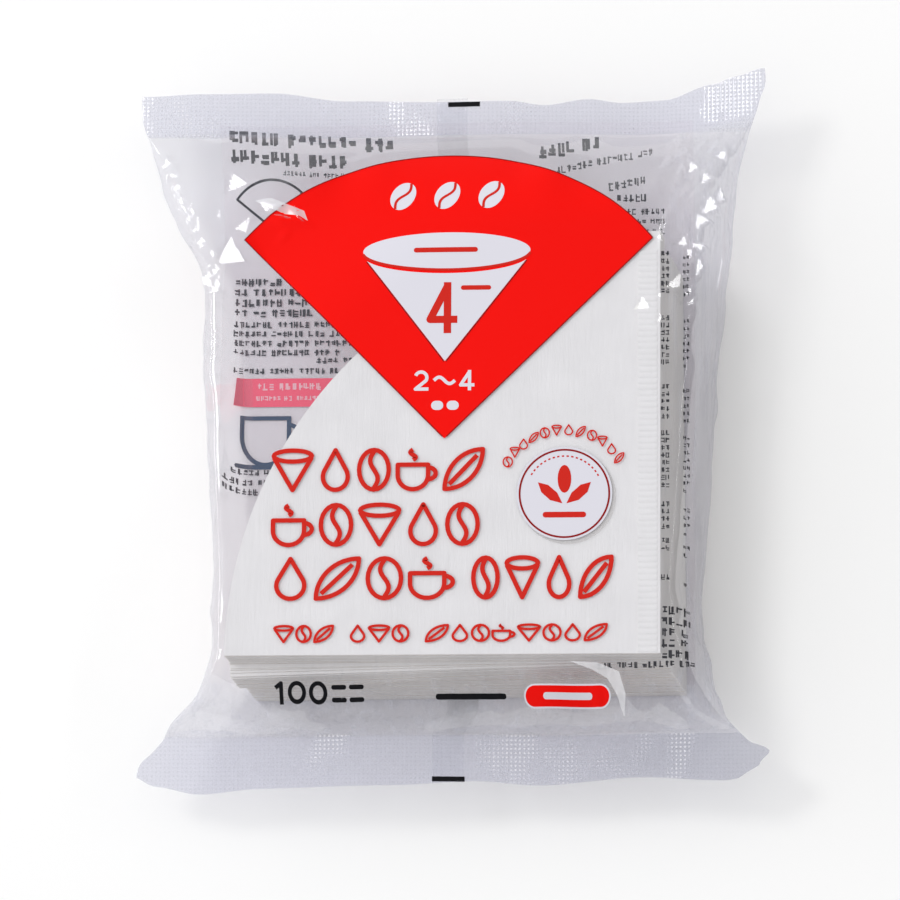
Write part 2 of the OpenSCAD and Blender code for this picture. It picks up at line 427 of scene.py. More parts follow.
    def back_z(self, x: np.ndarray, y: np.ndarray) -> np.ndarray:
        """Height of the back sheet, which rides over the fin.

        Args:
            x: Places across the pack.
            y: Places along the pack.

        Returns:
            The height at each place.
        """
        f = self.back_full(y)
        half, (left, right, ramp) = self.fin_w / 2, self.fin_ramp
        over = smooth((x + half + left) / ramp) * smooth((half + right - x) / ramp)
        rise = (2 * self.film_t + self.fin_gap) * f * over
        return ((self.z_mid - self.film_t) * (1 - f) + rise
                - 4 * f * (1 - f) ** 2 * self.pleat(x, y) + self.lift(x, y))

    def leaned(self, x: np.ndarray, y: np.ndarray, z: np.ndarray) -> np.ndarray:
        """Shifts X so that the film follows the leaning stack."""
        return x - self.lean_x * (z - self.z_mid) / self.pack_h * self.back_full(y)


@dataclass
class FilmBag:
    """The bag's mesh: rings around the film tube, open at the cut ends."""

    form: FilmForm
    front_columns: int = 180
    back_columns: int = 66
    corner_steps: int = 12
    body_rings: int = 140
    upper_rings: int = 130
    upper_from: float = 30.0
    edge_density: float = 0.45
    seal_step: float = 1.0
    flank_ripple: float = 0.55
    ripple_pitches: tuple[tuple[float, float], ...] = ((17.0, 9.0), (6.0, 4.0))
    fine_ripple: float = 0.45
    front_from: float = 0.3
    facet_share: float = 0.7
    ray_starts: tuple[float, float] = (-30.0, 90.0)

    def stations(self) -> np.ndarray:
        """Places of the rings along the pack, denser in the upper part, where the facets are.

        Returns:
            Y of each ring.
        """
        low, high = self.form.y_cut
        seal_low, seal_high = self.form.y_seal
        lower = np.linspace(low, seal_low, round((seal_low - low) / self.seal_step))
        upper = np.linspace(seal_high, high, round((high - seal_high) / self.seal_step))
        body = np.linspace(seal_low, self.upper_from, self.body_rings)[1:]
        taut = np.linspace(self.upper_from, seal_high, self.upper_rings)[1:-1]
        return np.concatenate([lower, body, taut, upper])

    def quarter(self, side: int, y: np.ndarray, x_edge: np.ndarray, reach: np.ndarray,
                z_sheet: np.ndarray, z_flank: np.ndarray) -> list[tuple[np.ndarray, np.ndarray]]:
        """Makes one quarter of the rounded edge, from the sheet to the flank.

        Args:
            side: 1 for the right flank, -1 for the left.
            y: Places of the rings. Not used.
            x_edge: Where the sheet ends, on each ring.
            reach: How far the flank stands beyond that.
            z_sheet: Height of the sheet's end.
            z_flank: Height of the flank's outermost line.

        Returns:
            X and Z of each column, the sheet's end left out.
        """
        power = 2 / self.form.corner_power
        columns = []
        for i in range(1, self.corner_steps + 1):
            a = math.pi / 2 * i / self.corner_steps
            z = mix(z_flank, z_sheet, max(math.cos(a), 0.0) ** power)
            columns.append((x_edge + side * reach * math.sin(a) ** power, z))
        return columns

    def grid(self) -> np.ndarray:
        """Computes the rings.

        Returns:
            Points as an array of rings, columns and X, Y, Z.
        """
        form = self.form
        y = self.stations()
        full = form.front_full(y)
        reach = mix(form.seal_edge_r, form.corner_r, smooth(2 * full))
        right = form.flank(y, 1) - reach
        left = -(form.flank(y, -1) - reach)
        z_right = form.z_mid + form.lift(form.flank(y, 1), y)
        z_left = form.z_mid + form.lift(-form.flank(y, -1), y)
        columns: list[tuple[np.ndarray, np.ndarray]] = []
        for s in np.linspace(0, 1, self.back_columns):
            x = mix(left, right, s)
            columns.append((x, form.back_z(x, y)))
        low_right = self.quarter(1, y, right, reach, form.back_z(right, y), z_right)
        high_right = self.quarter(1, y, right, reach, form.front_z(right, y), z_right)
        columns += low_right + high_right[-2::-1]
        for t in np.linspace(1, 0, self.front_columns):
            s = t - self.edge_density * math.sin(2 * math.pi * t) / (2 * math.pi)
            x = mix(left, right, s)
            columns.append((x, form.front_z(x, y)))
        high_left = self.quarter(-1, y, left, reach, form.front_z(left, y), z_left)
        low_left = self.quarter(-1, y, left, reach, form.back_z(left, y), z_left)
        columns += high_left + low_left[-2::-1]
        x = np.stack([c[0] for c in columns], axis=1)
        z = np.stack([c[1] for c in columns], axis=1)
        yy = np.repeat(y[:, None], x.shape[1], axis=1)
        x = form.leaned(self.rippled(x, yy, z, right, left), yy, z)
        z = self.faceted(x, yy, z)
        return np.stack([x, yy + form.drawn(x, yy), z], axis=2)

    def faceted(self, x: np.ndarray, y: np.ndarray, z: np.ndarray) -> np.ndarray:
        """Sets the flat facets into the front of the film.

        Args:
            x: X of the points.
            y: Y of the points.
            z: Z of the points.

        Returns:
            The new Z.
        """
        upper = z > self.form.z_mid + self.front_from
        for facet in self.form.facets:
            laid = facet.laid(np.where(upper, x, 1e3), y, z)
            z = np.where(upper, laid, z)
        return z

    def rippled(self, x: np.ndarray, y: np.ndarray, z: np.ndarray, right: np.ndarray,
                left: np.ndarray) -> np.ndarray:
        """Crumples the flanks a little, outward from the stack.

        Args:
            x: X of the points.
            y: Y of the points.
            z: Z of the points.
            right: Where the sheets end on the right, on each ring.
            left: Where they end on the left.

        Returns:
            The new X.
        """
        form = self.form
        coarse, fine = (Ripple(SEED + k, pitch) for k, pitch in enumerate(self.ripple_pitches))
        wave = self.flank_ripple * (coarse.at(y, z) + self.fine_ripple * fine.at(y, z))
        creased = sum((c.relief(z, y) for c in form.flank_creases), np.zeros_like(x))
        amount = (wave + creased) * form.front_full(y)
        beyond_right = unit((x - right[:, None]) / form.corner_r)
        beyond_left = unit((left[:, None] - x) / form.corner_r)
        return x + amount * (beyond_right - beyond_left)

    def build(self, finish: bpy.types.Material) -> bpy.types.Object:
        """Makes the bag.

        Args:
            finish: The clear film.

        Returns:
            The bag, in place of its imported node.
        """
        grid = self.grid()
        rings, columns = grid.shape[:2]
        ring, column = np.meshgrid(np.arange(rings - 1), np.arange(columns), indexing="ij")
        a = (ring * columns + column).ravel()
        b = (ring * columns + (column + 1) % columns).ravel()
        faces = np.stack([a, b, b + columns, a + columns], axis=1).tolist()
        points = grid.reshape(-1, 3)
        bag = new_piece("film_bag_skin", points, faces, finish)
        bag.data.polygons.foreach_set("use_smooth", ~self.in_facet(points, faces))
        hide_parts("film_bag")
        self.tree = BVHTree.FromPolygons([tuple(p) for p in points], faces)
        return bag

    def in_facet(self, points: np.ndarray, faces: list[list[int]]) -> np.ndarray:
        """Tells which faces lie in a flat facet.

        Args:
            points: The bag's vertices.
            faces: The bag's faces.

        Returns:
            True for each face in a facet.
        """
        centre = points[np.array(faces)].mean(axis=1)
        x, y = centre[:, 0], centre[:, 1] - self.form.drawn(centre[:, 0], centre[:, 1])
        share = np.max([facet.share(x, y) for facet in self.form.facets], axis=0)
        return (share > self.facet_share) & (centre[:, 2] > self.form.z_mid + self.front_from)

    def drop(self, points: np.ndarray, rises: np.ndarray, front: bool = True) -> np.ndarray:
        """Lays flat points on the film.

        Args:
            points: X and Y of each point.
            rises: How far over the film each lies, towards the inside at the back.
            front: True for the front sheet, False for the back one.

        Returns:
            X, Y and Z of each point.
        """
        start, way = self.ray_starts[front], Vector((0, 0, -1 if front else 1))
        laid = []
        for (x, y), rise in zip(points, rises):
            hit = self.tree.ray_cast(Vector((x, y, start)), way)[0]
            z = hit.z if hit else self.form.z_mid
            laid.append((x, y, z + rise))
        return np.array(laid)


def new_piece(name: str, points: Iterable[Sequence[float]], faces: Iterable[Sequence[int]],
              finish: bpy.types.Material) -> bpy.types.Object:
    """Makes a piece of the object from points in millimetres.

    Args:
        name: Name of the piece.
        points: Its vertices.
        faces: Its faces.
        finish: Its material.

    Returns:
        The piece, riding on the pack's only body.
    """
    mesh = bpy.data.meshes.new(name)
    mesh.from_pydata([tuple(float(v) * MM for v in p) for p in points], [], list(faces))
    mesh.materials.append(finish)
    mesh.shade_smooth()
    piece = bpy.data.objects.new(name, mesh)
    bpy.context.scene.collection.objects.link(piece)
    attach(piece, BODY)
    LOG.info("%s: %d faces", name, len(mesh.polygons))
    return piece


Patch = tuple[np.ndarray, list[tuple[int, ...]]]
CORNER_COS = 0.8  # A line that turns more sharply than this has a corner there.
BAR_STEP = 0.5


def patch(shape: Callable[[np.ndarray, np.ndarray], tuple[np.ndarray, np.ndarray]],
          across: int, along: int) -> Patch:
    """Fills a shape with a grid of faces.

    Args:
        shape: Turns u and v, each from 0 to 1, into X and Y.
        across: Faces along u.
        along: Faces along v.

    Returns:
        Points and faces.
    """
    u, v = np.meshgrid(np.linspace(0, 1, across + 1), np.linspace(0, 1, along + 1), indexing="ij")
    x, y = shape(u, v)
    points = np.stack([x.ravel(), y.ravel()], axis=1)
    step = along + 1
    faces = [(i * step + j, (i + 1) * step + j, (i + 1) * step + j + 1, i * step + j + 1)
             for i in range(across) for j in range(along)]
    return points, faces


def upward(piece: Patch) -> Patch:
    """Turns every face of a flat patch to look along +Z.

    Args:
        piece: The patch.

    Returns:
        The patch with its faces turned.
    """
    points, faces = piece
    facing_up = []
    for f in faces:
        p = points[list(f)]
        area = np.sum(p[:, 0] * np.roll(p[:, 1], -1) - np.roll(p[:, 0], -1) * p[:, 1])
        facing_up.append(f if area > 0 else f[::-1])
    return points, facing_up


def disc(x: float, y: float, rx: float, ry: Optional[float] = None, around: int = 48,
         rings: int = 6) -> Patch:
    """A filled circle or ellipse.

    Args:
        x: Its middle along X.
        y: Its middle along Y.
        rx: Half its width.
        ry: Half its height, where that isn't half its width.
        around: Points around it.
        rings: Rings of faces.

    Returns:
        Points and faces.
    """
    ry = rx if ry is None else ry
    points = [(x, y)]
    for k in range(1, rings + 1):
        a = np.linspace(0, 2 * np.pi, around, endpoint=False)
        points += list(zip(x + rx * k / rings * np.cos(a), y + ry * k / rings * np.sin(a)))
    faces: list[tuple[int, ...]] = [(0, 1 + j, 1 + (j + 1) % around) for j in range(around)]
    for k in range(rings - 1):
        base = 1 + k * around
        faces += [(base + j, base + around + j, base + around + (j + 1) % around,
                   base + (j + 1) % around) for j in range(around)]
    return np.array(points), faces


def arc(x: float, y: float, rx: float, ry: float, start: float, end: float, count: int = 24
        ) -> np.ndarray:
    """Points along an arc, angles in degrees from +X."""
    a = np.radians(np.linspace(start, end, count))
    return np.stack([x + rx * np.cos(a), y + ry * np.sin(a)], axis=1)


def ribbon(points: np.ndarray, width: float, closed: bool = False, step: float = 0.8) -> Patch:
    """A stroke of even width along a line.

    Args:
        points: Points of the line.
        width: Width of the stroke.
        closed: Whether the line closes on itself.
        step: Longest face along the stroke.

    Returns:
        Points and faces.
    """
    line = np.asarray(points, dtype=float)
    if closed:
        line = np.vstack([line, line[:1]])
    dense = [line[0]]
    for a, b in zip(line[:-1], line[1:]):
        parts = max(1, math.ceil(np.hypot(*(b - a)) / step))
        dense += [mix(a, b, k / parts) for k in range(1, parts + 1)]
    line = np.array(dense[:-1] if closed else dense)
    ahead = np.roll(line, -1, axis=0) - line
    behind = line - np.roll(line, 1, axis=0)
    if not closed:
        ahead[-1], behind[0] = behind[-1], ahead[0]
    a = ahead / np.maximum(np.linalg.norm(ahead, axis=1, keepdims=True), 1e-9)
    b = behind / np.maximum(np.linalg.norm(behind, axis=1, keepdims=True), 1e-9)
    way = a + b
    way /= np.maximum(np.linalg.norm(way, axis=1, keepdims=True), 1e-9)
    side = np.stack([-way[:, 1], way[:, 0]], axis=1)
    spread = width / 2 / np.maximum(np.sum(side * np.stack([-a[:, 1], a[:, 0]], axis=1), axis=1),
                                    0.5)
    count = len(line)
    left, right = line + side * spread[:, None], line - side * spread[:, None]
    pts = np.vstack([left, right])
    last = count if closed else count - 1
    faces = [(i, count + i, count + (i + 1) % count, (i + 1) % count) for i in range(last)]
    return pts, faces


def stroke(points: np.ndarray, width: float, closed: bool = False) -> list[Patch]:
    """A stroke that is cut at its sharp corners and joined there by round dots.

    Args:
        points: Points of the line.
        width: Width of the stroke.
        closed: Whether the line closes on itself.

    Returns:
        Its pieces, which may overlap.
    """
    line = np.asarray(points, dtype=float)
    line = np.vstack([line, line[:1]]) if closed else line
    apart = np.linalg.norm(np.diff(line, axis=0), axis=1) > 1e-6
    line = line[np.concatenate([[True], apart])]
    way = np.diff(line, axis=0)
    way /= np.linalg.norm(way, axis=1, keepdims=True)
    turns = np.sum(way[:-1] * way[1:], axis=1)
    corners = [i + 1 for i, c in enumerate(turns) if c < CORNER_COS]
    if closed and way[-1] @ way[0] >= CORNER_COS and not corners:
        return [ribbon(line[:-1], width, True)]
    cuts = [0, *corners, len(line) - 1]
    pieces = [ribbon(line[a:b + 1], width) for a, b in zip(cuts[:-1], cuts[1:])]
    dots = {tuple(line[i]) for i in (corners + [0] if closed else corners)}
    return pieces + [disc(*dot, width / 2, around=12, rings=1) for dot in sorted(dots)]


def bar(x0: float, x1: float, y: float, height: float) -> Patch:
    """A flat bar with rounded ends.

    Args:
        x0: Its left end.
        x1: Its right end.
        y: The middle of its height.
        height: Its height.

    Returns:
        Points and faces.
    """
    half = height / 2

    def shape(u: np.ndarray, v: np.ndarray) -> tuple[np.ndarray, np.ndarray]:
        """Gives a point of the bar, with v across it."""
        x = mix(x0, x1, u - 0.35 / math.pi * np.sin(2 * np.pi * u))
        end = np.minimum(np.minimum(x - x0, x1 - x), half)
        reach = np.sqrt(np.maximum(half ** 2 - (half - end) ** 2, 1e-4))
        return x, y + (2 * v - 1) * reach

    return patch(shape, max(16, round((x1 - x0) / BAR_STEP)), max(2, round(height / BAR_STEP)))


class Layer(Enum):
    """The layers of the print, by the record's slot and their height over the film."""

    FIELD = ("red_print", 0.05)
    PALE = ("pale_print", 0.09)
    RED_LINE = ("red_print", 0.13)
    DARK = ("dark_print", 0.07)
    PALE_LINE = ("pale_print", 0.13)
    FOLD = ("clear_film", 0.20)


class Tone(Enum):
    """The colours of the print."""

    RED = "red"
    DEEP_RED = "deep red"
    PALE = "pale"
    DARK = "dark"
    EMBLEM_SHADE = "emblem shade"
    RIM = "rim"
    PANEL = "panel"
    GREY = "grey"
    PINK = "pink"
    BLUE = "blue"
    BANNER_MARK = "banner mark"
    MARGIN = "margin"


@dataclass
class InkSheet:
    """Shapes of one layer that are laid on the film as one piece."""

    name: str
    layer: Layer
    front: bool = True
    layer_step: float = 0.004
    layer_count: int = 7
    points: list[np.ndarray] = field(default_factory=list)
    rises: list[np.ndarray] = field(default_factory=list)
    faces: list[tuple[int, ...]] = field(default_factory=list)
    count: int = 0

    def add(self, *shapes: Patch) -> None:
        """Adds flat shapes to the sheet, each a hair above the one before.

        Args:
            shapes: The shapes, lowest first.
        """
        for shape in shapes:
            points, faces = upward(shape)
            self.faces += [tuple(self.count + i for i in f) for f in faces]
            step = self.layer_step * (len(self.points) % self.layer_count)
            self.rises.append(np.full(len(points), self.layer.value[1] + step))
            self.points.append(points)
            self.count += len(points)

    def build(self, bag: FilmBag, finish: bpy.types.Material) -> bpy.types.Object:
        """Lays the sheet on the film.

        Args:
            bag: The bag that carries the print.
            finish: The ink's material.

        Returns:
            The piece.
        """
        laid = bag.drop(np.vstack(self.points), np.concatenate(self.rises), self.front)
        return new_piece(self.name, laid, self.faces, finish)


class Sign(Enum):
    """The thin-line signs that stand in rows on the front."""

    BEAN = "bean"
    CUP = "cup"
    DROP = "drop"
    CONE = "cone"
    LEAF = "leaf"

    @property
    def share(self) -> float:
        """Its width against the widest signs."""
        return 0.78 if self in (Sign.BEAN, Sign.DROP) else 1.0

    def draw(self, x: float, y: float, w: float, h: float, line_w: float) -> list[Patch]:
        """Draws the sign.

        Args:
            x: Left of the sign.
            y: Foot of the sign.
            w: Width.
            h: Height.
            line_w: Width of the strokes.

        Returns:
            Its strokes.
        """
        mx, my = x + w / 2, y + h / 2
        t = np.linspace(0, 1, 16)
        if self is Sign.BEAN:
            curve = np.stack([mx + 0.13 * w * np.sin(2 * np.pi * t), y + h * (0.04 + 0.92 * t)], 1)
            return [ribbon(arc(mx, my, w / 2, h / 2, 0, 345, 24), line_w, True),
                    ribbon(curve, line_w)]
        if self is Sign.CUP:
            rim = y + 0.62 * h
            foot = arc(x + 0.4 * w, y + 0.36 * h, 0.4 * w, 0.36 * h, 180, 360, 16)
            ear = arc(x + 0.8 * w, y + 0.4 * h, 0.2 * w, 0.15 * h, -90, 90, 10)
            steam = np.stack([x + 0.4 * w + 0.07 * w * np.sin(2 * np.pi * t),
                              y + h * (0.74 + 0.26 * t)], 1)
            return [*stroke(np.vstack([[(x, rim)], foot, [(x + 0.8 * w, rim)]]), line_w, True),
                    ribbon(ear, line_w), ribbon(steam, line_w)]
        if self is Sign.DROP:
            round_part = arc(mx, y + 0.33 * h, 0.42 * w, 0.33 * h, 150, 390, 22)
            return stroke(np.vstack([[(mx, y + h)], round_part]), line_w, True)
        if self is Sign.CONE:
            sides = np.array([(x, y + 0.82 * h), (mx, y), (x + w, y + 0.82 * h)])
            return [*stroke(sides, line_w),
                    ribbon(arc(mx, y + 0.86 * h, w / 2, 0.14 * h, 0, 345, 24), line_w, True)]
        edge = np.vstack([arc(x + w, y, w, h, 180, 90, 14), arc(x, y + h, w, h, 0, -90, 14)])
        vein = np.array([(x + 0.12 * w, y + 0.12 * h), (x + 0.85 * w, y + 0.85 * h)])
        return stroke(edge, line_w, True) + stroke(vein, line_w)


@dataclass(frozen=True)
class SignRow:
    """A row of signs, spread over its whole length."""

    x0: float
    x1: float
    foot: float
    height: float
    line_w: float
    names: str
    gap: float = 0.22

    def shapes(self) -> list[Patch]:
        """Draws the row's signs in order.

        Returns:
            Their strokes.
        """
        signs = [Sign(name) for name in self.names.split()]
        gap = self.gap * self.height
        free = (self.x1 - self.x0) - gap * (len(signs) - 1)
        whole = sum(sign.share for sign in signs)
        x, shapes = self.x0, []
        for sign in signs:
            w = free * sign.share / whole
            shapes += sign.draw(x, self.foot, w, self.height, self.line_w)
            x += w + gap
        return shapes


TITLE_ROWS = (
    SignRow(-51.4, 10.4, -20.0, 12.0, 1.35, "cone drop bean cup leaf"),
    SignRow(-51.4, 9.0, -36.6, 12.0, 1.35, "cup bean cone drop bean"),
    SignRow(-51.0, 1.8, -52.8, 12.0, 1.35, "drop leaf bean cup"),
    SignRow(7.8, 48.4, -52.8, 12.0, 1.35, "bean cone drop leaf"),
)
SUBTITLE_ROWS = (
    SignRow(-50.6, -33.4, -65.8, 4.8, 0.75, "cone bean leaf"),
    SignRow(-28.4, -11.2, -65.8, 4.8, 0.75, "drop cone bean"),
    SignRow(-6.0, 47.0, -65.8, 4.8, 0.75, "leaf drop bean cup cone bean drop leaf"),
)


def figure(digit: str, x: float, y: float, w: float, h: float, width: float) -> list[Patch]:
    """Draws a plain figure.

    Args:
        digit: 0, 1, 2, 4 or a wave for a range.
        x: Left of the figure.
        y: Foot of the figure.
        w: Width.
        h: Height.
        width: Width of its strokes.

    Returns:
        Its strokes.
    """
    s = width / 2
    left, foot, head = x + s, y + s, y + h - s
    mid_x, mid_y = x + w / 2, y + h / 2
    if digit == "0":
        return [ribbon(arc(mid_x, mid_y, w / 2 - s, h / 2 - s, 0, 345, 24), width, True)]
    if digit == "1":
        line = [(left, head - 0.2 * h), (mid_x + s, head), (mid_x + s, y)]
        return stroke(np.array(line), width)
    if digit == "2":
        hook = arc(mid_x, head - (w / 2 - s), w / 2 - s, w / 2 - s, 160, -35, 16)
        return stroke(np.vstack([hook, [(left, foot), (x + w, foot)]]), width)
    if digit == "4":
        bar_y = y + 0.27 * h
        line = [(x + w, bar_y), (left, bar_y), (x + 0.68 * w, head)]
        stem = [(x + 0.68 * w, y + h), (x + 0.68 * w, y)]
        return stroke(np.array(line), width) + stroke(np.array(stem), width)
    t = np.linspace(0, 1, 18)
    wave = np.stack([x + w * t, mid_y + 0.16 * h * np.sin(2 * np.pi * t)], axis=1)
    return [ribbon(wave, width)]


@dataclass
class FrontPrint:
    """The print on the front: a red sector, a plain cone sign, numbers and ornaments."""

    apex: tuple[float, float] = (-1.0, -4.7)
    sector_r: float = 89.6
    sector_tip_r: float = 86.5
    sector_half_angle: float = 44.7
    sector_turn: float = 0.6
    cone_mouth: tuple[float, float, float, float] = (-0.7, 52.8, 24.9, 5.6)
    cone_tip: tuple[float, float] = (-1.0, 18.9)
    cone_sweep: tuple[float, float] = (197.0, 343.0)
    cone_rim_x: tuple[float, float] = (23.8, 0.3)
    cone_rim_y: tuple[float, float] = (49.6, 18.8)
    cone_bars: tuple[tuple[float, ...], ...] = ((-10.5, 8.6, 53.0, 1.5), (3.6, 12.6, 41.3, 1.4))
    cone_number: tuple[float, ...] = (-6.6, 27.4, 9.2, 15.6, 2.2)
    cups: tuple[tuple[str, float, float], ...] = (("2", -10.2, 4.4), ("~", -4.2, 6.2),
                                                  ("4", 3.2, 4.6))
    cups_size: tuple[float, float, float] = (9.9, 6.2, 1.0)
    cups_bars: tuple[tuple[float, ...], ...] = ((-5.0, -1.4, 5.4, 2.8), (-0.4, 3.2, 5.4, 2.8))
    beans_x: tuple[float, float, float] = (-14.0, -0.8, 12.4)
    beans_y: float = 70.6
    bean_size: tuple[float, float] = (3.5, 4.9)
    bean_turn: float = -28.0
    emblem_place: tuple[float, float, float] = (34.5, -21.6, 13.2)
    emblem_leaf: tuple[tuple[float, float], ...] = ((0, 0), (1.5, 3.2), (4.2, 5.6), (7.2, 6.4),
                                                    (6.2, 3.4), (3.6, 1.0))
    emblem_dots_r: float = 11.3
    emblem_signs_r: float = 19.3
    emblem_signs: tuple[Sign, ...] = (Sign.BEAN, Sign.CONE, Sign.DROP, Sign.LEAF)
    emblem_sign_size: tuple[float, float, float] = (2.7, 3.0, 0.42)
    count: tuple[tuple[str, float, float], ...] = (("1", -51.0, 3.4), ("0", -46.8, 5.4),
                                                   ("0", -40.6, 5.4))
    count_size: tuple[float, float, float] = (-83.0, 6.0, 1.15)
    count_bars_y: tuple[float, float] = (-78.6, -81.8)
    foot_y: float = -81.2
    foot_bar: tuple[float, float] = (-3.4, 17.4)
    pill: tuple[float, float] = (23.0, 47.6)
    pill_bar: tuple[float, float] = (28.2, 42.6)
    pill_ends: tuple[float, float, float] = (25.7, 44.9, 2.9)
    rim_w: float = 0.34

    def sector_point(self, u: np.ndarray, v: np.ndarray) -> tuple[np.ndarray, np.ndarray]:
        """Gives a point of the sector from its share of the radius and of the angle.

        Args:
            u: Share of the radius.
            v: Share of the angle, from left to right.

        Returns:
            X and Y.
        """
        reach = mix(self.sector_r, self.sector_tip_r, (2 * v - 1) ** 2)
        r = reach * np.maximum(u, 0.002)
        a = np.radians((2 * v - 1) * self.sector_half_angle + self.sector_turn)
        return self.apex[0] + r * np.sin(a), self.apex[1] + r * np.cos(a)

    def rims(self, rim: InkSheet) -> None:
        """Draws the thin dark rim round the field and along the cone's sides.

        Args:
            rim: The sheet of the rims.
        """
        v, straight = np.linspace(0, 1, 60), np.linspace(0.01, 1, 50)
        left = np.stack(self.sector_point(straight, np.zeros(50)), axis=1)
        top = np.stack(self.sector_point(np.ones(60), v), axis=1)
        right = np.stack(self.sector_point(straight[::-1], np.ones(50)), axis=1)
        rim.add(ribbon(left, self.rim_w), ribbon(top, self.rim_w), ribbon(right, self.rim_w))
        for side in (-1, 1):
            mouth_x, tip_x = (x + side * out for x, out in
                              zip((self.cone_mouth[0], self.cone_tip[0]), self.cone_rim_x))
            rim.add(ribbon(np.array([(mouth_x, self.cone_rim_y[0]),
                                     (tip_x, self.cone_rim_y[1])]), self.rim_w))

    def cone_sign(self, pale: InkSheet, lines: InkSheet) -> None:
        """The plain cone: an ellipse for its mouth and a triangle for its side.

        Args:
            pale: The sheet of the pale signs.
            lines: The sheet of the red lines.
        """
        x, y, rx, ry = self.cone_mouth
        pale.add(disc(x, y, rx, ry, around=72, rings=8))

        def side(u: np.ndarray, v: np.ndarray) -> tuple[np.ndarray, np.ndarray]:
            """Gives a point of the side, with v from the mouth to the tip."""
            a = np.radians(mix(*self.cone_sweep, u))
            top_x = x + (rx - 0.1) * np.cos(a)
            top_y = y - 1.2 + (ry + 0.2) * np.sin(a)
            return mix(top_x, self.cone_tip[0], v), mix(top_y, self.cone_tip[1], v)

        pale.add(patch(side, 48, 28))
        lines.add(ribbon(arc(x, y - 0.15, rx + 0.1, ry + 0.15, 186, 354, 60), 0.75),
                  *(bar(*sizes) for sizes in self.cone_bars))

    def bean(self, pale: InkSheet, red: InkSheet, x: float, y: float) -> None:
        """Draws a slanted coffee bean in pale ink with a red groove.

        Args:
            pale: The sheet of the pale signs.
            red: The sheet of the red lines.
            x: Its middle along X.
            y: Its middle along Y.
        """
        turn = math.radians(self.bean_turn)
        rx, ry = self.bean_size
        points, faces = disc(0, 0, rx, ry, around=40, rings=4)
        t = np.linspace(-1, 1, 20)
        groove = np.stack([0.9 * np.sin(np.pi * t), ry * t], axis=1)
        spin = np.array([[math.cos(turn), math.sin(turn)], [-math.sin(turn), math.cos(turn)]])
        pale.add((points @ spin + (x, y), faces))
        red.add(ribbon(groove @ spin + (x, y), 0.8))

    def emblem(self, white: InkSheet, lines: InkSheet, shade: InkSheet, rim: InkSheet) -> None:
        """The round emblem: a white disc, a ring, three leaves, a bar and an arc of signs.

        Args:
            white: The sheet of the pale signs.
            lines: The sheet of the red lines.
            shade: The sheet of the soft shade.
            rim: The sheet of the rims.
        """
        x, y, r = self.emblem_place
        shade.add(disc(x + 0.9, y - 1.0, r + 1.1, around=64, rings=5))
        white.add(disc(x, y, r + 0.9, around=64, rings=8))
        rim.add(ribbon(arc(x, y, r, r, 0, 355, 72), 0.55, True))
        for side in (-1, 1):
            root = (x + side * 0.6, y - 3.0)
            leaf = [(root[0] + side * u, root[1] + v) for u, v in self.emblem_leaf]
            lines.add((np.array(leaf), [tuple(range(len(leaf)))]))
        lines.add(disc(x, y + 4.4, 2.0, 4.2, around=24, rings=3),
                  bar(x - 6.4, x + 6.4, y - 6.4, 1.7))
        for start in np.arange(150, 29, -7.0):
            dots_r = self.emblem_dots_r
            lines.add(ribbon(arc(x, y, dots_r, dots_r, start, start - 3.4, 4), 0.45))
        w, h, line_w = self.emblem_sign_size
        for k, angle in enumerate(np.radians(np.arange(150, 27, -10.6))):
            mark_x = x + self.emblem_signs_r * math.cos(angle)
            mark_y = y + self.emblem_signs_r * math.sin(angle)
            sign = self.emblem_signs[k % len(self.emblem_signs)]
            lines.add(*sign.draw(mark_x - w / 2, mark_y - h / 2, w, h, line_w))

    def foot_line(self, dark: InkSheet, pale: InkSheet) -> None:
        """The line at the foot: the count, its bars, a long bar and the pill's pale lines.

        Args:
            dark: The sheet of the dark marks.
            pale: The sheet of the pale signs.
        """
        y = self.foot_y
        foot, height, line_w = self.count_size
        for digit, x, w in self.count:
            dark.add(*figure(digit, x, foot, w, height, line_w))
        for bar_y in self.count_bars_y:
            dark.add(bar(-34.0, -29.6, bar_y, 1.2), bar(-28.8, -24.4, bar_y, 1.2))
        dark.add(bar(*self.foot_bar, y, 1.5))
        left, right, r = self.pill_ends
        ends = [arc(left, y, r, r, 90, 270, 16), arc(right, y, r, r, -90, 90, 16)]
        pale.add(bar(*self.pill_bar, y, 1.8), ribbon(np.vstack(ends), 0.45, True))

    def build(self, bag: FilmBag, inks: dict[Tone, bpy.types.Material]) -> None:
        """Makes every piece of the front print.

        Args:
            bag: The bag that carries it.
            inks: The material of each tone.
        """
        red_field = InkSheet("print_red_field", Layer.FIELD)
        shade = InkSheet("print_emblem_shade", Layer.FIELD)
        rim = InkSheet("print_dark_rims", Layer.PALE_LINE)
        pale = InkSheet("print_pale_signs", Layer.PALE)
        lines = InkSheet("print_red_lines", Layer.RED_LINE)
        dark = InkSheet("print_dark_marks", Layer.DARK)
        red_field.add(patch(self.sector_point, 96, 120), bar(*self.pill, self.foot_y, 5.4))
        self.rims(rim)
        self.cone_sign(pale, lines)
        lines.add(*figure("4", *self.cone_number))
        for bean_x in self.beans_x:
            self.bean(pale, lines, bean_x, self.beans_y)
        foot, height, line_w = self.cups_size
        for digit, x, w in self.cups:
            pale.add(*figure(digit, x, foot, w, height, line_w))
        pale.add(*(bar(*sizes) for sizes in self.cups_bars))
        for row in TITLE_ROWS:
            lines.add(*row.shapes())
        self.emblem(pale, lines, shade, rim)
        for row in SUBTITLE_ROWS:
            lines.add(*row.shapes())
        self.foot_line(dark, pale)
        for sheet, tone in ((red_field, Tone.RED), (shade, Tone.EMBLEM_SHADE), (rim, Tone.RIM),
                            (pale, Tone.PALE), (lines, Tone.DEEP_RED), (dark, Tone.DARK)):
            sheet.build(bag, inks[tone])


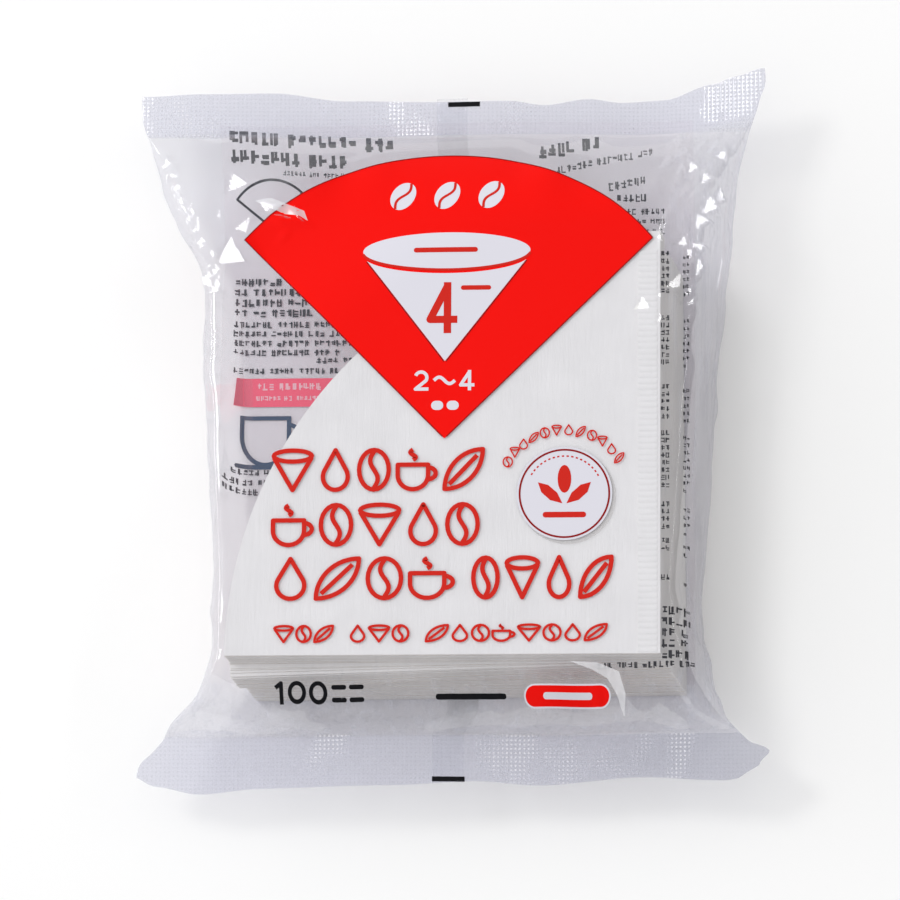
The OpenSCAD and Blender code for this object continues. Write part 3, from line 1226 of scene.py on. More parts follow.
@dataclass(frozen=True)
class MarkBlock:
    """A block of rows of tiny abstract marks, in word-long groups."""

    x0: float
    x1: float
    top: float
    count: int
    height: float
    pitch: float
    seed: int
    climb: float = 0.0
    mark_step: float = 0.84
    word_gap: float = 0.6
    short_line: float = 0.3

    def shapes(self) -> list[Patch]:
        """Draws the block's marks row by row, the last row a little shorter.

        Returns:
            Their strokes.
        """
        rng = np.random.default_rng(SEED + self.seed)
        shapes = []
        for k in range(self.count):
            x, end = self.x0, self.x1
            if k == self.count - 1:
                end -= rng.uniform(0, self.short_line) * (self.x1 - self.x0)
            while x < end - self.height:
                for _ in range(rng.integers(2, 8)):
                    if x > end - 0.7 * self.height:
                        break
                    y = self.top - k * self.pitch + self.climb * (x - self.x0)
                    shapes += self.mark(rng, x, y)
                    x += self.mark_step * self.height
                x += self.word_gap * self.height
        return shapes

    def mark(self, rng: np.random.Generator, x: float, y: float) -> list[Patch]:
        """Draws one mark of three or four crossing strokes.

        Args:
            rng: The block's random draw.
            x: Left of the mark.
            y: Its middle.

        Returns:
            Its strokes.
        """
        w, h = 0.7 * self.height, self.height
        thick = (0.24 if h > 3 else 0.18) * h
        strokes = []
        for _ in range(rng.integers(3, 5)):
            upright = rng.random() < 0.5
            at, cut = rng.uniform(0.1, 0.9), rng.uniform(0.0, 0.35)
            if upright:
                x0, x1, y0, y1 = x + at * w, x + at * w, y - h / 2 + cut * h, y + h / 2
                dx, dy = thick / 2, 0.0
            else:
                x0, x1, y0, y1 = x + cut * w, x + w, y + (at - 0.5) * h, y + (at - 0.5) * h
                dx, dy = 0.0, thick / 2
            corners = [(x0 - dx, y0 - dy), (x1 + dx, y0 - dy),
                       (x1 + dx, y1 + dy), (x0 - dx, y1 + dy)]
            strokes.append((np.array(corners), [(0, 1, 2, 3)]))
        return strokes


HEADING_BLOCKS = (
    MarkBlock(-67.5, -18, 93.6, 2, 3.6, 4.9, 2, climb=-0.06),
    MarkBlock(-52, -26, 84.2, 1, 1.4, 2.0, 3, climb=-0.05),
)
PANEL_BLOCKS = (
    MarkBlock(-67, -34, 52.6, 4, 2.5, 3.2, 4),
    MarkBlock(-67, -26, 39.4, 4, 2.0, 2.9, 14),
    MarkBlock(-42, -26, 28.2, 1, 2.0, 2.9, 15),
    MarkBlock(-67, -26, 25.0, 1, 1.9, 2.9, 16),
    MarkBlock(-67, -52, -6.5, 1, 2.0, 2.6, 6),
    MarkBlock(-69, -54, -9.6, 2, 2.0, 2.8, 17),
    MarkBlock(25.5, 46.5, 88.4, 1, 3.3, 3.0, 7, climb=0.15),
    MarkBlock(30.5, 63.5, 84.2, 1, 1.9, 2.0, 8, climb=0.16),
    MarkBlock(46, 64, 79.6, 1, 2.3, 3.0, 9, climb=0.18),
    MarkBlock(48.5, 61, 76.4, 1, 2.2, 3.0, 10, climb=0.04),
    MarkBlock(50, 63.5, 72.8, 4, 1.8, 2.9, 19),
)
MARGIN_ROWS = ((51, 6), (31.5, 7), (10.5, 5), (-3.5, 8), (-25, 4), (-36.0, 2), (-47, 1))
MARGIN_FOOT_BLOCKS = (
    MarkBlock(62.9, 72.4, -57.0, 5, 2.6, 3.3, 12),
    MarkBlock(44.0, 75.5, -73.6, 1, 1.9, 2.4, 13, climb=0.03),
)
BANNER_BLOCKS = (
    MarkBlock(-60, -32, 20.2, 1, 2.2, 3.0, 5),
    MarkBlock(-60, -34, 16.6, 1, 1.5, 3.0, 18),
)


@dataclass
class BackPrint:
    """The print on the back: a pale panel with rows of small marks and simple signs."""

    panel: tuple[float, float, float, float] = (-70.0, 72.0, -72.0, 97.0)
    banner: tuple[float, float, float, float] = (-66.6, -28.5, 14.0, 22.8)
    banner_slant: float = 0.8
    cup_place: tuple[float, float] = (-57.0, 4.5)

    def margin_blocks(self) -> list[MarkBlock]:
        """Lists the two columns of marks beside the stack, and the rows at its foot.

        Returns:
            The blocks.
        """
        blocks = []
        for top, count in MARGIN_ROWS:
            blocks += [MarkBlock(62.9, 66.6, top, count, 1.6, 2.25, 10 + count),
                       MarkBlock(69.4, 71.4, top - 1.2, count, 1.2, 2.25, 30 + count, climb=0.3)]
        return [*blocks, *MARGIN_FOOT_BLOCKS]

    def filter_sign(self) -> list[Patch]:
        """Draws a folded filter with its seam bent over.

        Returns:
            Its strokes.
        """
        fan = np.vstack([arc(-55.4, 69.0, 13.5, 13.5, 142, 48, 16),
                         [(-54.0, 69.0), (-55.4, 69.0)]])
        return stroke(fan, 0.7, True) + stroke(np.array([(-53.0, 69.4), (-44.6, 78.2)]), 1.0)

    def cup_sign(self) -> list[Patch]:
        """Draws a plain cup on its saucer.

        Returns:
            Its strokes.
        """
        x, y = self.cup_place
        wall = np.vstack([[(x - 7.0, y + 6.0)], arc(x, y, 7.0, 8.4, 180, 360, 20),
                          [(x + 7.0, y + 6.0)]])
        return [ribbon(wall, 1.3, True),
                ribbon(arc(x + 7.0, y + 0.5, 3.4, 3.4, -90, 90, 12), 1.3),
                bar(x - 9.0, x + 10.0, -4.6, 1.4)]

    def build(self, bag: FilmBag, inks: dict[Tone, bpy.types.Material]) -> None:
        """Makes every piece of the back print.

        Args:
            bag: The bag that carries it.
            inks: The material of each tone.
        """
        x0, x1, y0, y1 = self.panel
        bx0, bx1, by0, by1 = self.banner
        panel = InkSheet("back_print_panel", Layer.FIELD, front=False)
        marks = InkSheet("back_print_marks", Layer.PALE, front=False)
        banner = InkSheet("back_print_banner", Layer.PALE, front=False)
        pale = InkSheet("back_print_pale_marks", Layer.PALE_LINE, front=False)
        cup = InkSheet("back_print_cup", Layer.PALE, front=False)
        margin = InkSheet("margin_marks", Layer.DARK)
        panel.add(patch(lambda u, v: (mix(x0, x1, u), mix(y0, y1, v)), 46, 54))
        for block in HEADING_BLOCKS:
            marks.add(*block.shapes())
        marks.add(*self.filter_sign())
        banner.add(patch(lambda u, v: (mix(bx0, bx1, u) + self.banner_slant * v,
                                       mix(by0, by1, v)), 30, 8))
        for sheet, blocks in ((marks, PANEL_BLOCKS), (margin, self.margin_blocks()),
                              (pale, BANNER_BLOCKS)):
            for block in blocks:
                sheet.add(*block.shapes())
        cup.add(*self.cup_sign())
        for sheet, tone in ((panel, Tone.PANEL), (marks, Tone.GREY), (banner, Tone.PINK),
                            (pale, Tone.BANNER_MARK), (cup, Tone.BLUE), (margin, Tone.MARGIN)):
            sheet.build(bag, inks[tone])


@dataclass
class EyeMarks:
    """The dark register marks where the film was cut."""

    length: float = 9.6
    depth: float = 1.5
    inset: float = 0.9
    places: tuple[float, float] = (3.2, -0.2)

    def build(self, bag: FilmBag, finish: bpy.types.Material) -> None:
        """Makes a mark at either cut end.

        Args:
            bag: The bag that carries them.
            finish: The dark ink.
        """
        sheet = InkSheet("print_eye_marks", Layer.DARK)
        form = bag.form
        for x, end, side in zip(self.places, form.y_cut[::-1], (-1, 1)):
            y = end + side * self.inset + float(form.drawn(np.array(x), np.array(end)))
            sheet.add(patch(lambda u, v, x=x, y=y: (x + (u - 0.5) * self.length,
                                                    y + (v - 0.5) * self.depth), 12, 6))
        sheet.build(bag, finish)


# The folds, whose whitish sheets are painted highlights: points of an upper and of a lower edge,
# which share their ends.
PINCHED_FOLDS = (
    (((-58.6, 70.0), (-53.6, 70.8), (-48.2, 68.4), (-43.6, 66.4), (-42.4, 63.2)),
     ((-58.6, 70.0), (-53.8, 67.6), (-49.6, 65.6), (-45.0, 64.8), (-42.4, 63.2))),
    (((36.2, -72.0), (44.4, -72.4), (50.6, -75.0), (52.4, -81.0), (51.8, -86.6)),
     ((36.2, -72.0), (42.8, -74.4), (47.2, -76.8), (49.8, -81.0), (51.8, -86.6))),
)


@dataclass
class FilmFoldsAndHighlights:
    """Pinched folds of the front sheet, where the doubled film looks milky and is whitened as a
    painted highlight.
    """

    @staticmethod
    def between(upper: Sequence[tuple[float, float]], lower: Sequence[tuple[float, float]],
                along: int = 24, across: int = 5) -> Patch:
        """Fills the space between two smooth edges that share their ends.

        Args:
            upper: Points of one edge.
            lower: Points of the other edge.
            along: Faces along the edges.
            across: Faces from edge to edge.

        Returns:
            Points and faces.
        """
        def edge(points: Sequence[tuple[float, float]], u: np.ndarray) -> list[np.ndarray]:
            """Reads X and Y of an edge at u."""
            places = np.linspace(0, 1, len(points))
            return [eased(u, list(zip(places, axis))) for axis in zip(*points)]

        def shape(u: np.ndarray, v: np.ndarray) -> tuple[np.ndarray, np.ndarray]:
            """Gives a point between the edges."""
            (ux, uy), (lx, ly) = edge(upper, u), edge(lower, u)
            return mix(lx, ux, v), mix(ly, uy, v)

        return patch(shape, along, across)

    def build(self, bag: FilmBag, finish: bpy.types.Material) -> None:
        """Makes the folds, whitish as painted highlights.

        Args:
            bag: The bag that carries them.
            finish: The doubled film, whitened as a painted highlight.
        """
        sheet = InkSheet("film_folds_and_highlights", Layer.FOLD)
        for upper, lower in PINCHED_FOLDS:
            sheet.add(self.between(upper, lower))
        sheet.build(bag, finish)


@dataclass
class BackFin:
    """The fin of film folded flat down the back."""

    form: FilmForm
    columns: int = 12
    rings: int = 220
    end_trim: float = 0.2
    side_trim: float = 0.8
    thin: float = 0.8
    lift: float = 0.01
    resting: float = 0.999

    def layer(self, top: bool) -> np.ndarray:
        """Gives one face of the fin as a grid of points.

        Args:
            top: Whether it is the face towards the bag.

        Returns:
            The points by ring and column.
        """
        form = self.form
        x = np.linspace(-form.fin_w / 2, form.fin_w / 2 - self.side_trim, self.columns)
        y = np.linspace(form.y_cut[0] + self.end_trim, form.y_cut[1] - self.end_trim, self.rings)
        xx, yy = np.meshgrid(x, y)
        thick = 2 * form.film_t * self.thin if top else 0.0
        z = form.back_z(xx, yy) - (2 * form.film_t + form.fin_gap) + thick + self.lift
        z = np.where(form.back_full(yy) > self.resting, self.lift + thick, z)
        return np.stack([form.leaned(xx, yy, z), yy, z], axis=2)

    def build(self, finish: bpy.types.Material) -> None:
        """Makes the fin as a thin closed strip.

        Args:
            finish: The clear film.
        """
        count = self.columns * self.rings
        points = np.vstack([self.layer(top).reshape(-1, 3) for top in (False, True)])
        faces: list[tuple[int, ...]] = []
        for i in range(self.rings - 1):
            for j in range(self.columns - 1):
                a = i * self.columns + j
                quad = (a, a + 1, a + 1 + self.columns, a + self.columns)
                faces.append(quad[::-1])
                faces.append(tuple(count + k for k in quad))
        rim = list(range(self.columns))
        rim += [i * self.columns + self.columns - 1 for i in range(1, self.rings)]
        rim += [(self.rings - 1) * self.columns + j for j in range(self.columns - 2, -1, -1)]
        rim += [i * self.columns for i in range(self.rings - 2, 0, -1)]
        faces += [(a, b, count + b, count + a) for a, b in zip(rim, rim[1:] + rim[:1])]
        piece = new_piece("back_fin", points, faces, finish)
        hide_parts("film_bag")


class NodeSheet:
    """Small helper that adds and joins shader nodes of one tree."""

    def __init__(self, tree: bpy.types.NodeTree) -> None:
        """Takes an empty tree."""
        self.tree = tree

    def add(self, kind: str, **values: object) -> bpy.types.Node:
        """Adds a node and sets its properties or inputs.

        Args:
            kind: Blender's name of the node.
            values: Properties by name, or inputs by name with spaces as underscores.

        Returns:
            The node.
        """
        node = self.tree.nodes.new(kind)
        for name, value in values.items():
            if hasattr(node, name):
                setattr(node, name, value)
            else:
                self.feed(node.inputs[name.replace("_", " ")], value)
        return node

    def join(self, source: bpy.types.NodeSocket, target: bpy.types.NodeSocket) -> None:
        """Joins two sockets."""
        self.tree.links.new(source, target)

    def feed(self, target: bpy.types.NodeSocket, term: object) -> None:
        """Sets a socket to a number or a colour, or joins another socket to it.

        Args:
            target: The socket to set.
            term: A number, a colour or a socket.
        """
        if isinstance(term, bpy.types.NodeSocket):
            self.join(term, target)
        elif target.type == "RGBA":
            target.default_value = (*term, 1.0)
        else:
            target.default_value = term

    def math(self, operation: str, *terms: object) -> bpy.types.NodeSocket:
        """Adds a Math node.

        Args:
            operation: Blender's name of the operation.
            terms: Numbers or sockets.

        Returns:
            Its output.
        """
        node = self.add("ShaderNodeMath", operation=operation)
        for socket, term in zip(node.inputs, terms):
            self.feed(socket, term)
        return node.outputs[0]

    def axes(self, source: bpy.types.NodeSocket) -> list[bpy.types.NodeSocket]:
        """Splits a vector into its three parts."""
        return list(self.add("ShaderNodeSeparateXYZ", Vector=source).outputs)

    def remap(self, value: bpy.types.NodeSocket, start: float, end: float, low: float = 0.0,
              high: float = 1.0, linear: bool = False) -> bpy.types.NodeSocket:
        """Adds a Map Range node.

        Args:
            value: What it follows.
            start: The value at which it gives the low end.
            end: The value at which it gives the high end.
            low: The low end.
            high: The high end.
            linear: Whether it runs straight instead of easing in and out.

        Returns:
            Its output.
        """
        node = self.add("ShaderNodeMapRange", Value=value, From_Min=start, From_Max=end,
                        To_Min=low, To_Max=high,
                        interpolation_type="LINEAR" if linear else "SMOOTHSTEP")
        return node.outputs[0]

    def grain(self, group: bpy.types.ShaderNodeTree, scale: float,
              stretch: tuple[float, float, float] = (1.0, 1.0, 1.0)) -> bpy.types.NodeSocket:
        """Adds the shared fine grain.

        Args:
            group: The grain's node group.
            scale: Its scale, higher for finer.
            stretch: How much finer it is along each axis.

        Returns:
            Its height from 0 to 1.
        """
        node = self.add("ShaderNodeGroup", node_tree=group)
        self.feed(node.inputs["Scale"], scale)
        self.feed(node.inputs["Stretch"], stretch)
        return node.outputs["Height"]

    def blend(self, share: object, first: object, second: object, kind: str = "MIX"
              ) -> bpy.types.NodeSocket:
        """Mixes two colours.

        Args:
            share: How much of the second.
            first: A colour or a socket.
            second: A colour or a socket.
            kind: Blender's name of the way to mix.

        Returns:
            The mixed colour.
        """
        node = self.add("ShaderNodeMix", data_type="RGBA", blend_type=kind)
        for place, term in ((0, share), (6, first), (7, second)):
            self.feed(node.inputs[place], term)
        return node.outputs[2]

    def over(self, share: object, below: bpy.types.Node, above: bpy.types.Node
             ) -> bpy.types.Node:
        """Mixes two shaders.

        Args:
            share: How much of the one above.
            below: The shader node below.
            above: The shader node above.

        Returns:
            The Mix Shader node.
        """
        node = self.add("ShaderNodeMixShader", Fac=share)
        self.join(below.outputs[0], node.inputs[1])
        self.join(above.outputs[0], node.inputs[2])
        return node


def new_material(name: str) -> tuple[bpy.types.Material, NodeSheet, bpy.types.NodeSocket]:
    """Makes an empty material.

    Args:
        name: Its name.

    Returns:
        The material, its nodes and the surface socket of its output.
    """
    material = bpy.data.materials.new(name)
    material.use_nodes = True
    material.node_tree.nodes.clear()
    sheet = NodeSheet(material.node_tree)
    output = sheet.add("ShaderNodeOutputMaterial")
    return material, sheet, output.inputs["Surface"]


def grain_group() -> bpy.types.ShaderNodeTree:
    """Builds the fine grain that several finishes share.

    Returns:
        A group with Scale and Stretch inputs and a Height output from 0 to 1.
    """
    group = bpy.data.node_groups.new("fine_grain", "ShaderNodeTree")
    group.interface.new_socket("Scale", in_out="INPUT", socket_type="NodeSocketFloat")
    group.interface.new_socket("Stretch", in_out="INPUT", socket_type="NodeSocketVector")
    group.interface.new_socket("Height", in_out="OUTPUT", socket_type="NodeSocketFloat")
    sheet = NodeSheet(group)
    entry, leave = sheet.add("NodeGroupInput"), sheet.add("NodeGroupOutput")
    place = sheet.add("ShaderNodeTexCoord")
    scaled = sheet.add("ShaderNodeVectorMath", operation="MULTIPLY")
    sheet.join(place.outputs["Object"], scaled.inputs[0])
    sheet.join(entry.outputs["Stretch"], scaled.inputs[1])
    noise = sheet.add("ShaderNodeTexNoise", Detail=3.0, Roughness=0.6,
                      Vector=scaled.outputs[0], Scale=entry.outputs["Scale"])
    sheet.join(noise.outputs["Fac"], leave.inputs["Height"])
    return group


@dataclass(frozen=True)
class ClearFilm:
    """Clear glossy packing film with a faint milky haze and crimped seals."""

    name: str = "clear_film"
    tint: tuple[float, float, float] = (0.943, 0.940, 0.955)
    seal_tint: tuple[float, float, float] = (0.895, 0.895, 0.925)
    # The tint that the bottom seal darkens to towards its right end, and the span of X over which
    # it does so: painted shade.
    painted_foot_shade: tuple[float, float, float] = (0.825, 0.825, 0.855)
    painted_foot_shade_x: tuple[float, float] = (5.0, 72.0)
    haze: float = 0.065
    edge_haze: float = 0.12
    edge_power: float = 3.0
    foot_haze: float = 0.08
    foot_reach: tuple[float, float] = (26.0, 2.0)
    side_reach: tuple[float, float] = (-4.0, 8.0)
    streak_haze: float = 0.16
    streak_scale: float = 330.0
    streak_stretch: tuple[float, float, float] = (1.0, 0.07, 1.0)
    streak_range: tuple[float, float] = (0.50, 0.68)
    seal_haze: float = 0.07
    # The extra haze on raised seal cells in pressed patches: a milky weld, and part of a painted
    # glint.
    cell_milk_and_glint_haze: float = 0.42
    haze_colour: tuple[float, float, float] = (0.65, 0.665, 0.77)
    # The whitish colour of those cells: a milky weld, and a painted glint.
    cell_milk_and_glint_colour: tuple[float, float, float] = (0.94, 0.94, 0.97)
    gloss_roughness: float = 0.075
    gloss_limit: float = 0.13
    gloss_index: float = 1.42
    waffle_pitch: float = 1.28
    waffle_h: float = 0.05
    cell_gain: float = 1.3
    cell_lift: float = 0.15
    weld_scale: float = 42.0
    weld_stretch: tuple[float, float, float] = (1.0, 0.5, 1.0)
    weld_range: tuple[float, float] = (0.495, 0.615)
    weld_least: float = 0.12

    def build(self, grain: bpy.types.ShaderNodeTree, form: FilmForm) -> bpy.types.Material:
        """Makes the material.

        Args:
            grain: The shared grain group.
            form: The film's form, for the places of the seals.

        Returns:
            The material.
        """
        material, sheet, surface = new_material(self.name)
        calc, foot_y = sheet.math, form.y_seal[0]
        x, y, _ = sheet.axes(sheet.add("ShaderNodeTexCoord").outputs["Object"])
        in_top = calc("GREATER_THAN", y, form.y_seal[1] * MM)
        in_bottom = calc("LESS_THAN", y, foot_y * MM)
        in_seal = calc("ADD", in_top, in_bottom)

        # The waffle of the seals, pressed more in some patches than in others.
        turn = 2 * math.pi / (self.waffle_pitch * MM)
        waves = [calc("SINE", calc("MULTIPLY", axis, turn)) for axis in (x, y)]
        cells = calc("MINIMUM", *waves)
        weld = sheet.remap(sheet.grain(grain, self.weld_scale, self.weld_stretch),
                           *self.weld_range, self.weld_least)
        pressed = calc("MULTIPLY", weld, in_seal)
        crimp = sheet.add("ShaderNodeBump", Distance=self.waffle_h * MM, Strength=pressed,
                          Height=cells)
        # The raised cells in the pressed patches, made milkier and whiter: partly weld, partly a
        # painted glint.
        raised = calc("MAXIMUM", calc("MULTIPLY_ADD", cells, self.cell_gain, self.cell_lift),
                      0.0)
        milky_glint_cells = calc("MULTIPLY", calc("MINIMUM", raised, 1.0), pressed)

        # The clear film's tint and the colour of its haze, whiter on the raised pressed cells as a
        # painted glint.
        milk = sheet.add("ShaderNodeBsdfDiffuse",
                         Color=sheet.blend(milky_glint_cells, self.haze_colour, self.cell_milk_and_glint_colour))
        # The bottom seal's tint darkens towards its right end: painted shade.
        shade_to_right = sheet.remap(x, *(side * MM for side in self.painted_foot_shade_x))
        tint = sheet.blend(calc("MULTIPLY", in_bottom, shade_to_right),
                           sheet.blend(in_seal, self.tint, self.seal_tint), self.painted_foot_shade)
        clear = sheet.add("ShaderNodeBsdfTransparent", Color=tint)

        # How much haze: more in the seals, on the raised pressed cells as a painted glint, at a
        # slant, at the foot and in streaks.
        foot = sheet.remap(y, *((foot_y + reach) * MM for reach in self.foot_reach))
        side = sheet.remap(x, *((form.x_point + reach) * MM for reach in self.side_reach))
        streak = sheet.remap(sheet.grain(grain, self.streak_scale, self.streak_stretch),
                             *self.streak_range)
        where = calc("MULTIPLY", calc("MAXIMUM", foot, side), calc("SUBTRACT", 1.0, in_seal))
        facing = sheet.add("ShaderNodeLayerWeight", Blend=0.5)
        slant = calc("POWER", facing.outputs["Facing"], self.edge_power)
        haze = self.haze
        for share, amount in ((in_seal, self.seal_haze), (milky_glint_cells, self.cell_milk_and_glint_haze),
                              (slant, self.edge_haze),
                              (calc("MULTIPLY", where, foot), self.foot_haze),
                              (calc("MULTIPLY", where, streak), self.streak_haze)):
            haze = calc("MULTIPLY_ADD", share, amount, haze)
        body = sheet.over(haze, clear, milk)

        gloss = sheet.add("ShaderNodeBsdfGlossy", Roughness=self.gloss_roughness,
                          Color=(1.0, 1.0, 1.0), Normal=crimp.outputs["Normal"])
        fresnel = sheet.add("ShaderNodeFresnel", IOR=self.gloss_index,
                            Normal=crimp.outputs["Normal"])
        shine = calc("MINIMUM", fresnel.outputs[0], self.gloss_limit)
        sheet.join(sheet.over(shine, body, gloss).outputs[0], surface)
        return material


@dataclass(frozen=True)
class FilterPaper:
    """White crepe paper, warmer on the cut and folded edges, which are also painted darker as
    shade.
    """

    face: tuple[float, float, float] = (0.905, 0.898, 0.885)
    # The colour of the cut and folded edges: a warmer tone, darker as painted shade.
    edge: tuple[float, float, float] = (0.69, 0.62, 0.54)
    roughness: float = 0.92
    crepe_scale: float = 1000.0
    crepe_stretch: tuple[float, float, float] = (1.0, 0.12, 1.0)
    crepe_h: float = 0.25
    cloud_scale: float = 60.0
    cloud_range: tuple[float, float] = (0.3, 0.7)
    cloud_least: float = 0.94
    edge_from: float = 0.5

    def build(self, grain: bpy.types.ShaderNodeTree) -> bpy.types.Material:
        """Makes the material.

        Args:
            grain: The shared grain group.

        Returns:
            The material.
        """
        material, sheet, surface = new_material("filter_paper")
        shape = sheet.add("ShaderNodeNewGeometry")
        upright = sheet.math("ABSOLUTE", sheet.axes(shape.outputs["True Normal"])[2])
        # Faces that stand on edge, the sides of the stack, take the edge colour: warmer, and
        # darker as painted shade.
        colour = sheet.blend(sheet.math("LESS_THAN", upright, self.edge_from), self.face,
                             self.edge)
        shade = sheet.remap(sheet.grain(grain, self.cloud_scale), *self.cloud_range,
                            self.cloud_least, linear=True)
        bump = sheet.add("ShaderNodeBump", Strength=0.5, Distance=self.crepe_h * MM,
                         Height=sheet.grain(grain, self.crepe_scale, self.crepe_stretch))
        paper = sheet.add("ShaderNodeBsdfPrincipled", Roughness=self.roughness,
                          Specular_IOR_Level=0.25, Normal=bump.outputs["Normal"],
                          Base_Color=sheet.blend(1.0, colour, shade, "MULTIPLY"))
        sheet.join(paper.outputs[0], surface)
        return material


@dataclass(frozen=True)
class PrintInk:
    """An ink under the film's gloss."""

    name: str
    colour: tuple[float, float, float]
    alpha: float = 1.0
    roughness: float = 0.32
    roughness_spread: float = 0.06
    grain_scale: float = 240.0

    def build(self, grain: bpy.types.ShaderNodeTree) -> bpy.types.Material:
        """Makes the material.

        Args:
            grain: The shared grain group.

        Returns:
            The material.
        """
        material, sheet, surface = new_material(self.name)
        roughness = sheet.remap(sheet.grain(grain, self.grain_scale), 0.0, 1.0,
                                self.roughness - self.roughness_spread,
                                self.roughness + self.roughness_spread, linear=True)
        ink = sheet.add("ShaderNodeBsdfPrincipled", Base_Color=self.colour, Roughness=roughness,
                        Specular_IOR_Level=0.04, Coat_Weight=0.12, Coat_Roughness=0.05)
        if self.alpha < 1.0:
            ink = sheet.over(self.alpha, sheet.add("ShaderNodeBsdfTransparent"), ink)
        sheet.join(ink.outputs[0], surface)
        return material


FIN_FILM = ClearFilm("fin_film", tint=(0.99, 0.99, 0.99), seal_tint=(0.98, 0.98, 0.985),
                     painted_foot_shade=(0.98, 0.98, 0.985), haze=0.02, edge_haze=0.05, foot_haze=0.0,
                     streak_haze=0.0, seal_haze=0.02, cell_milk_and_glint_haze=0.1, gloss_limit=0.04)
# The doubled film of the folds: its strong whitish haze is a painted highlight.
FOLDED_FILM_AND_HIGHLIGHT = ClearFilm("folded_film_and_highlight", haze=0.5, edge_haze=0.1, haze_colour=(0.92, 0.92, 0.95))
INKS = {
    Tone.RED: PrintInk("red_ink", (0.90, 0.002, 0.0)),
    Tone.DEEP_RED: PrintInk("deep_red_ink", (0.62, 0.02, 0.012)),
    Tone.PALE: PrintInk("pale_ink", (0.72, 0.71, 0.78)),
    Tone.DARK: PrintInk("dark_ink", (0.005, 0.005, 0.007)),
    Tone.EMBLEM_SHADE: PrintInk("emblem_shade", (0.45, 0.42, 0.40), 0.22),
    Tone.RIM: PrintInk("rim_ink", (0.28, 0.006, 0.006)),
    Tone.PANEL: PrintInk("panel_ink", (0.84, 0.62, 0.72), 0.08),
    Tone.GREY: PrintInk("grey_ink", (0.006, 0.006, 0.014)),
    Tone.PINK: PrintInk("pink_ink", (0.98, 0.10, 0.19)),
    Tone.BLUE: PrintInk("blue_ink", (0.015, 0.05, 0.12)),
    Tone.BANNER_MARK: PrintInk("banner_mark_ink", (0.95, 0.55, 0.62)),
    Tone.MARGIN: PrintInk("margin_ink", (0.045, 0.045, 0.052)),
}


@dataclass(frozen=True)
class SoftBox:
    """A rectangular lamp."""

    name: str
    place: tuple[float, float, float]
    size: tuple[float, float]
    power: float
    target: tuple[float, float, float] = (0, 0, 0.02)

    def build(self) -> None:
        """Hangs the lamp, turned to its target, with its length along Y."""
        data = bpy.data.lights.new(self.name, "AREA")
        data.shape = "RECTANGLE"
        data.size, data.size_y = self.size
        data.energy = self.power
        lamp = bpy.data.objects.new(self.name, data)
        lamp.location = self.place
        back = (Vector(self.place) - Vector(self.target)).normalized()
        across = Vector((0, 1, 0)).cross(back).normalized()
        lamp.rotation_euler = Matrix((across, back.cross(across), back)).transposed().to_euler()
        bpy.context.scene.collection.objects.link(lamp)


SOFT_BOXES = (
    SoftBox("key_box", (-1.90, 1.00, 2.40), (0.74, 0.74), 24.0),
    SoftBox("right_strip", (2.00, 0.60, 1.50), (0.10, 1.2), 3.2),
    SoftBox("left_strip", (-2.20, 0.70, 1.00), (0.12, 2.4), 7.2),
)


